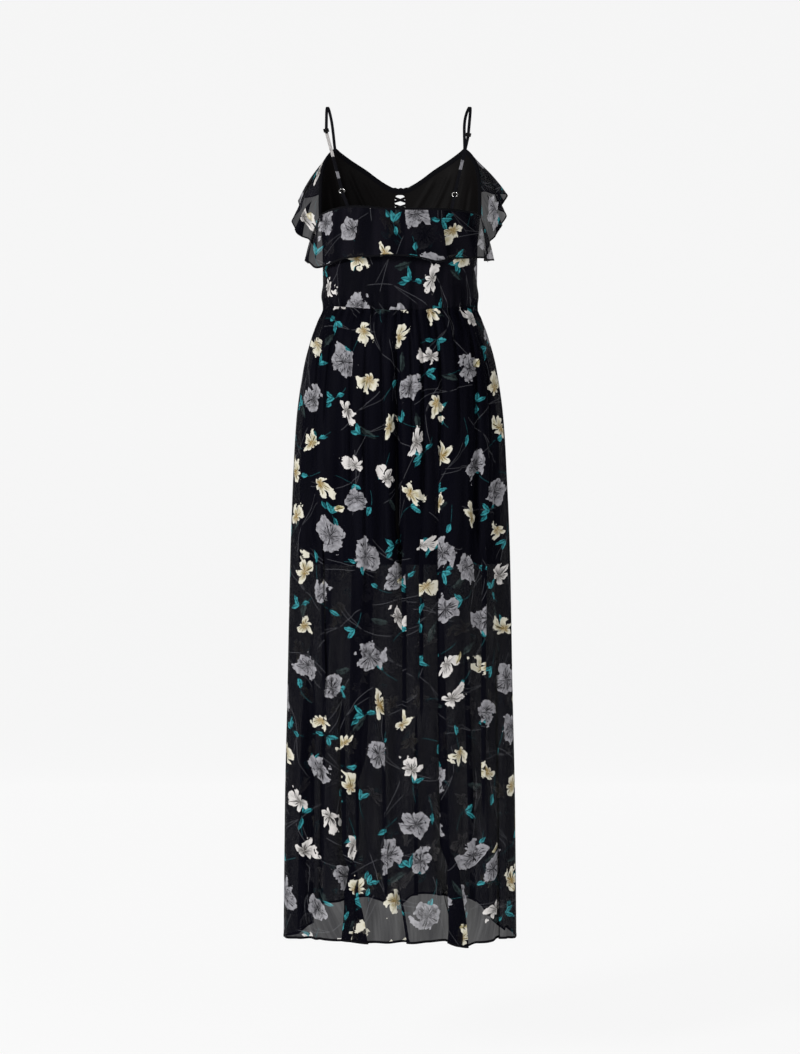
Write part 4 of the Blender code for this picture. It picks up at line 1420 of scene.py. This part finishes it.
WAVES = {"back": table("""
along half_width height
0.070 0.070  0.006
0.190 0.070 -0.005
0.330 0.090  0.004
0.500 0.100 -0.004
0.640 0.070  0.004
0.745 0.060 -0.009
0.850 0.055  0.008
0.935 0.045 -0.006"""), "left": table("""
along half_width height
0.060 0.050 -0.004
0.170 0.050 -0.006
0.265 0.050  0.005
0.360 0.045 -0.001
0.450 0.050  0.003
0.540 0.050 -0.008
0.640 0.060  0.010
0.750 0.060 -0.009
0.870 0.070  0.009"""), "right": table("""
along half_width height
0.060 0.050 -0.004
0.150 0.050 -0.004
0.225 0.045 -0.004
0.310 0.040  0.005
0.380 0.040 -0.008
0.455 0.045  0.008
0.550 0.050 -0.010
0.650 0.060  0.009
0.760 0.060 -0.010
0.880 0.070  0.008""")}
LEAN = {"back": table("""
along degrees
0.00 15
0.12  9
0.27  6
0.50 14
0.75  9
0.88  9
1.00 15"""), "left": table("""
along degrees
0.00  4
0.08  6
0.15 14
0.21 27
0.28 32
0.38 32
0.46 33
0.55 30
0.70 24
1.00 12"""), "right": table("""
along degrees
0.00  8
0.10  9
0.20 17
0.28 27
0.36 35
0.48 40
0.58 38
0.70 26
1.00 12""")}
LIFTS = {"back": table("""
along height
0.00  0.017
0.06  0.006
0.13 -0.010
0.27 -0.004
0.39  0.000
0.50  0.004
0.57  0.000
0.64 -0.008
0.71  0.002
0.82  0.005
1.00  0.010"""), "left": table("""
along height
0.00 0.016
0.12 0.016
0.22 0.000
0.50 0.002
1.00 0.000"""), "right": table("""
along height
0.00 0.010
0.12 0.010
0.24 0.000
0.50 0.002
1.00 0.000""")}
TUCKS = {"back": table("""
along doubled lies
0.058 0.020  1
0.330 0.003 -1
0.665 0.012  1
0.945 0.014 -1"""), "left": table("""
along doubled lies
0.205 0.012  1
0.395 0.009 -1
0.800 0.008  1"""), "right": table("""
along doubled lies
0.250 0.009  1
0.405 0.011 -1
0.790 0.008 -1""")}
print("flounce waves:", {part: len(rows) for part, rows in WAVES.items()})


# %% Flounce stretches
class Flounce:
    """A stretch of the flounce, from start to end across one half's top edge."""

    def __init__(self, part, half, start, end):
        self.waves, self.tucks = WAVES[part], TUCKS[part]
        self.lean = partial(curve, LEAN[part], "along", "degrees")
        self.lift = partial(curve, LIFTS[part], "along", "height")
        self.turned = -1 if end < start else 1
        across = np.linspace(start, end, Form.SHARES)
        z = top_edge(half, across)
        edge = form[half].at(across, z, FLOUNCE_STANDS_OFF)
        self.line = np.column_stack([edge, form[half].read(form[half].out, across, z)])
        self.run = lengths(edge)

    def unwaved(self, share, fall):
        at = SEAM / 2 + np.clip(share, 0, 1) * (self.run[-1] - SEAM)
        x, y, z, out_x, out_y = read_line(at, self.run, self.line).T
        lean = np.radians(self.lean(share))
        rounded = fall * (1 + FLOUNCE_ROUNDS * (1 - fall)) * np.sin(lean) * FLOUNCE_WIDTH
        drop = fall * np.cos(lean) * FLOUNCE_WIDTH
        return np.column_stack([x + out_x * rounded, y + out_y * rounded, z - drop])

    def tucked(self, share, fall):
        """How far the tucks move the cloth along, as a share of the run, and out."""
        along, out_by = np.zeros(len(share)), np.zeros(len(share))
        for row in self.tucks:
            doubled = row.doubled * fall
            offset = (share - row.along) * self.run[-1] * row.lies
            part = ease((fall - 0.08) / 0.4) * turned_under(offset, 0.020 + doubled)
            along += row.lies * part * (doubled + PLEAT_TURN) / 2
            out_by += part * TUCK_RISE
        return along / self.run[-1], out_by

    def ripples(self, share, fall):
        """Small uneven ripples, deeper where the flounce leans out."""
        deep = 0.0012 + 0.0030 * ease((self.lean(share) - 20) / 14)
        ripple = np.sin(2 * np.pi * (RIPPLES * share + 0.8 * np.sin(9 * share)))
        uneven = 0.65 + 0.35 * np.sin(2 * np.pi * 2.3 * share + 1.0)
        return ripple * uneven * deep * between(share, 0.03) * fall**1.7

    def place(self, share, fall):
        along, tucked = self.tucked(share, fall)
        share = share + along
        here = self.unwaved(share, fall)
        aside = self.unwaved(np.minimum(share + 0.006, 1), fall)
        aside = aside - self.unwaved(np.maximum(share - 0.006, 0), fall)
        down = self.unwaved(share, fall + 0.01) - self.unwaved(share, fall - 0.01)
        out = np.cross(down, aside) * self.turned
        out /= np.linalg.norm(out, axis=1, keepdims=True)
        wave = sum(row.height * bump(share - row.along, row.half_width) for row in self.waves)
        here[:, 2] += self.lift(share) * fall
        return here + out * (wave * fall**1.4 + self.ripples(share, fall) + tucked)[:, None]


at_neck = np.linspace(0, 0.5, 501)
from_middle = form["front"].at(at_neck, float(top_edge("front", 0.5)), 0.0)[:, 0]
PARTING = float(np.interp(-FLOUNCE_PARTS, -from_middle, at_neck))
for part, half, start, end, width, aside in (
    ("back", "back", 0.0, 1.0, 0.44, 4.11),
    ("right", "front", 0.0, PARTING, 0.30, 5.03),
    ("left", "front", 1.0, 1 - PARTING, 0.30, 6.17),
):
    node = "flounce_back" if part == "back" else f"flounce_front_{part}"
    flounce = Flounce(part, half, start, end)
    columns, rows = FLOUNCE_GRID
    foot = foot_of(flounce.place, 0.034)
    hem = lay_cloth(columns, 3, foot, flat_cut(width, 0.003), wall=HEM_THICK)
    keep(hem, f"{node}_hem", rolled, "printed_chiffon")
    cloth = lay_cloth(columns, rows, flounce.place, flat_cut(width, FLOUNCE_WIDTH, aside))
    keep(cloth, f"{node}_cloth", lined_chiffon, "printed_chiffon", node)
    print(node, "sewn edge:", round(float(flounce.run[-1]), 3))

# %% [markdown]
# ## Bands of folded chiffon
#
# Straps, ring loops and laces are all narrow tubes of chiffon, turned right side out and pressed.
# Each is laid as a narrow sheet along a path, with the direction of its width at every point,
# and then Solidify and Bevel make it a soft-edged band.


# %% Bands
def curve_through(places, count):
    """Evenly spaced points on a smooth curve through the given places."""
    padded = [places[0] * 2 - places[1], *places, places[-1] * 2 - places[-2]]
    fine = []
    for a, b, c, d in zip(padded, padded[1:], padded[2:], padded[3:]):
        for t in np.linspace(0, 1, 24, endpoint=False):
            bend = (2 * a - 5 * b + 4 * c - d) * t * t + (3 * b - a - 3 * c + d) * t**3
            fine.append(0.5 * (2 * b + (c - a) * t + bend))
    fine.append(places[-1])
    return resample(np.array(fine), count)


def resample(line, count):
    """Evenly spaced points along a line."""
    run = lengths(line)
    return read_line(np.linspace(0, run[-1], count), run, line)


def lay_band(path, widths, width, thick, aside, begins=0.0):
    """A band along a path; widths holds the direction of its width at each point."""
    ahead = np.gradient(path, axis=0)
    ahead /= np.linalg.norm(ahead, axis=1, keepdims=True)
    widths = widths - ahead * np.sum(widths * ahead, axis=1, keepdims=True)
    widths /= np.linalg.norm(widths, axis=1, keepdims=True)
    run = lengths(path)

    def place(share, fall):
        at = np.clip(fall, 0, 1) * run[-1]
        spots, ways = (read_line(at, run, line) for line in (path, widths))
        return spots + ways * ((share - 0.5) * (width - thick * 0.3))[:, None]

    def cut(share, fall):
        return np.column_stack([aside + (share - 0.5) * width, begins - fall * run[-1]])

    band = lay_cloth(3, len(path) * 2, place, cut, wall=thick)
    soften = band.modifiers.new("soft_edge", "BEVEL")
    soften.width = thick * 0.42
    soften.segments = 3
    soften.limit_method = "ANGLE"
    soften.angle_limit = math.radians(50)
    bpy.ops.object.modifier_apply(modifier="soft_edge")
    return band


print("bands are softened by a bevel")

# %% [markdown]
# ## Straps, rings and loops
#
# A strap rises from the front, goes over the shoulder and down through its slider, turns round
# the ring and comes back up behind itself to the slider. The ring hangs from a short loop sewn to
# the back edge.

# %% Strap places
STRAP_WIDTH = 0.0054
STRAP_THICK = 0.0010
STRAP_TURN = 0.0022
RING_RADIUS = 0.0045
WIRE = 0.0008
Strap = namedtuple("Strap", "side top_x slider_x slider_z ring_x ring_z loop_x arch_x print_at")
STRAPS = {
    "left": Strap(-1, 0.1238, 0.1245, -0.0460, 0.0959, -0.1584, 0.0873, -0.001, 0.0),
    "right": Strap(1, 0.1194, 0.1152, -0.0535, 0.0906, -0.1640, 0.0857, -0.0050, 1.0),
}


def strap_spots(row):
    """A strap's places and the three directions of its back: down, outward and wide."""
    peak = form["front"].at(PEAK, float(top_edge("front", PEAK)), 0.0)[0]
    shares = np.linspace(0, 1, 1001)
    back_line = form["back"].at(shares, top_edge("back", shares), 0.0)
    loop_at = [row.side * row.loop_x]
    _, loop_y, loop_top = read_line(loop_at, back_line[:, 0], back_line)[0]
    spots = {
        "peak": (row.side * abs(peak[0]), peak[1] - 0.0008, float(top_edge("front", PEAK)) - 0.006),
        "top": (row.side * row.top_x, 0.0, 0.0),
        "slider": (row.side * row.slider_x, -0.024, row.slider_z),
        "ring": (row.side * row.ring_x, -0.0880, row.ring_z),
        "edge": (row.side * row.loop_x, loop_y + 0.0007, loop_top - 0.005),
    }
    spots = {name: np.array(place) for name, place in spots.items()}
    down = spots["ring"] - spots["slider"]
    down /= np.linalg.norm(down)
    outward = np.cross(down, (1.0, 0.0, 0.0))
    outward /= np.linalg.norm(outward)
    return spots, down, outward, np.cross(outward, down)


def half_turn(centre, outward, down):
    """A band's half turn round a wire, starting on its outer side."""
    angles = np.linspace(0, np.pi, 9)[:, None]
    return centre + (outward * np.cos(angles) + down * np.sin(angles)) * STRAP_TURN


def strap_path(row):
    spots, down, outward, wide = strap_spots(row)
    centre = spots["ring"] - down * (RING_RADIUS - SEAM)
    outer_end, inner_end = centre + outward * STRAP_TURN, centre - outward * STRAP_TURN
    arched = spots["peak"] * 0.45 + spots["top"] * 0.55 + (row.side * row.arch_x, 0.006, 0.012)
    over = curve_through([spots["peak"], arched, spots["top"], spots["slider"]], 40)
    under = outward * (STRAP_THICK + 2 * SEAM)
    middle = (spots["slider"] + outer_end) / 2
    path = np.vstack(
        [
            over,
            [middle, outer_end - down * 0.012, outer_end - down * 0.003],
            half_turn(centre, outward, down),
            [inner_end - down * 0.003, outer_end - down * 0.016 - under, middle - under],
            [spots["slider"] + down * 0.003 - under],
        ]
    )
    twist = np.clip((path[:, 2] - spots["slider"][2]) / 0.03, 0, 1)[:, None]
    across_shoulder = np.array([wide[0], 0.25 * row.side, 0.0])
    widths = wide * (1 - twist) + across_shoulder * twist
    return resample(np.column_stack([path, widths]), 130)


for side, row in STRAPS.items():
    route = strap_path(row)
    before = np.argmin(np.linalg.norm(route[:80, :3] - strap_spots(row)[0]["slider"], axis=1))
    begins = float(lengths(route[: before + 1, :3])[-1])
    strap = lay_band(route[:, :3], route[:, 3:], STRAP_WIDTH, STRAP_THICK, row.print_at, begins)
    keep(strap, f"strap_{side}_band", strap_cloth, "printed_chiffon", f"strap_{side}")

    spots, down, outward, wide = strap_spots(row)
    centre = spots["ring"] + down * (RING_RADIUS - SEAM)
    low, leg = centre + down * 0.004, outward * STRAP_TURN * 0.8
    apart, up = np.array([0.0, -0.0009, 0.0]), np.array([0.0, 0.0, 0.007])
    foot = spots["edge"]
    path = np.vstack(
        [
            [foot + apart, foot + apart + up, low + leg],
            half_turn(centre, outward, -down),
            [low - leg, foot - apart + up, foot - apart],
        ]
    )
    level = np.array([[1.0, 0.0, 0.0]] * 2)
    widths = np.vstack([level, np.tile(wide, (len(path) - 4, 1)), level])
    route = resample(np.column_stack([path, widths]), 60)
    loop = lay_band(route[:, :3], route[:, 3:], STRAP_WIDTH, STRAP_THICK, row.print_at, 0.3)
    keep(loop, f"ring_loop_{side}_band", strap_cloth, "printed_chiffon", f"ring_loop_{side}")
print("strap points:", len(route))

# %% [markdown]
# ## Rings and sliders
#
# The ring is a torus of polished wire. The slider is a small coated frame with a bar across its
# middle: a thin box is inset on both faces, the two inset faces are bridged into a hole, and its
# edges are beveled. The bar is a short cylinder.


# %% Ring and slider
def ring(side, row):
    spots, _, outward, _ = strap_spots(row)
    turn = Vector(outward).to_track_quat("Z", "Y").to_euler()
    bpy.ops.object.select_all(action="DESELECT")
    bpy.ops.mesh.primitive_torus_add(
        location=spots["ring"],
        rotation=turn,
        major_radius=RING_RADIUS,
        minor_radius=WIRE,
        major_segments=56,
        minor_segments=16,
    )
    bpy.ops.object.transform_apply()
    bpy.ops.object.shade_smooth()
    keep(bpy.context.object, f"ring_{side}_wire", pale_metal, "pale_metal", f"ring_{side}")


def slider(side, row):
    spots, down, outward, wide = strap_spots(row)
    centre = spots["slider"] + outward * (STRAP_THICK / 2 + 2 * SEAM + WIRE)
    axes = np.column_stack([wide, down, np.cross(wide, down)])
    turn = Matrix(axes.tolist()).to_euler()
    bpy.ops.object.select_all(action="DESELECT")
    bpy.ops.mesh.primitive_cube_add(size=1.0, location=centre, rotation=turn)
    frame_piece = bpy.context.object
    frame_piece.scale = (0.0094, 0.0078, 2 * WIRE)
    bpy.ops.object.transform_apply(location=False, rotation=False)
    edit(bpy.ops.mesh.select_all, action="DESELECT")
    for face in frame_piece.data.polygons:
        face.select = abs(face.normal.z) > 0.9
    edit(bpy.ops.mesh.inset, thickness=3 * WIRE, use_individual=True)
    edit(bpy.ops.mesh.bridge_edge_loops)
    edit(bpy.ops.mesh.select_all, action="SELECT")
    edit(bpy.ops.mesh.bevel, offset=0.0006, segments=4)

    bpy.ops.object.select_all(action="DESELECT")
    bpy.ops.mesh.primitive_cylinder_add(radius=0.0007, depth=0.0075, vertices=20, location=centre)
    bar = bpy.context.object
    bar.rotation_euler = Vector(wide).to_track_quat("Z", "Y").to_euler()
    frame_piece.select_set(True)
    bpy.context.view_layer.objects.active = frame_piece
    bpy.ops.object.join()
    bpy.ops.object.transform_apply()
    bpy.ops.object.shade_smooth_by_angle(angle=math.radians(40))
    keep(frame_piece, f"slider_{side}_frame", dark_metal, "dark_metal", f"slider_{side}")


for side, row in STRAPS.items():
    ring(side, row)
    slider(side, row)
print("ring diameter over the wire:", round(2 * (RING_RADIUS + WIRE), 4))

# %% [markdown]
# ## Laces
#
# Two soft flat laces zigzag down the keyhole and cross over each other in turn. Each is one band,
# drawn out beyond the slot's edges, where small stitched loops would hold it.

# %% Laces
LACE_WIDTH = 0.0046
LACE_THICK = 0.0016
LACE_PITCH = 0.0121
LACE_REACH = 0.0155
LACE_TURNS = 6
FIRST_CROSSING = -0.1365


def lace(name, side):
    """One of the two laces. side is the side of the wearer on which it starts."""
    points = []
    for turn in range(LACE_TURNS):
        z = FIRST_CROSSING + LACE_PITCH * (0.5 - turn)
        over = side * (1 if turn % 2 == 0 else -1)
        out = form["front"].at(0.5 - over * LACE_REACH / 0.40, z, 0.0022)[0]
        points.append(np.array([over * LACE_REACH, out[1], z]))
        if turn < LACE_TURNS - 1:
            z -= LACE_PITCH / 2
            front = form["front"].at(0.5, z, 0.0022)[0][1]
            lift = 0.0011 if over > 0 else -0.0011
            points.append(np.array([0.0, front + lift, z]))
    path = resample(curve_through(points, 160), 160)
    upright = np.tile([0.0, 0.0, 1.0], (len(path), 1))
    band = lay_band(path, upright, LACE_WIDTH, LACE_THICK, 0.2)
    keep(band, f"{name}_band", cord, "black_cord", name)


for name, side in (("lace_a", -1), ("lace_b", 1)):
    lace(name, side)
print("lace crossings:", LACE_TURNS - 1)

# %% [markdown]
# ## Skirt hems and side seams
#
# The skirt ends in a narrow rolled hem, a dark line under the sheer cloth. Inside each side runs a
# seam allowance: a narrow doubled strip, which shows through as a darker line at the sides.

# %% Skirt hems and side seams
SEAM_WIDTH = 0.0075

for half in ("back", "front"):
    foot = foot_of(partial(skirt_place, half), 0.0026)
    hem = lay_cloth(SKIRT_GRID[0], 3, foot, 0.0, wall=HEM_THICK)
    keep(hem, f"skirt_{half}_hem", rolled, "printed_chiffon")


def seam_place(side, top, low, share, fall):
    """Where a strip inside one side seam lies, from top to low."""
    z = top + (low - top) * fall
    width, level = (curve(BODY, "z", name, z) for name in ("half", "side_y"))
    inward = 0.0010 + 2.5 * (share - 0.5) ** 2 * 0.0009
    return np.column_stack([side * (width - inward), level + (share - 0.5) * SEAM_WIDTH, z])


for name, side in (("left", -1), ("right", 1)):
    for part, top, low in (("bodice", -0.190, WAIST_TOP), ("skirt", WAIST_LOW, HEM + 0.001)):
        place, cut = partial(seam_place, side, top, low), flat_cut(SEAM_WIDTH, top - low)
        seam = lay_cloth(4, 120, place, cut, wall=0.0006)
        keep(seam, f"{part}_side_seam_{name}", rolled, "printed_chiffon")
print("hems and side seams are in")

# %% Finish
size = {"cad": cad_box, "visual": [list(corner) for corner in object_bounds()]}
print("visual box:", size["visual"])
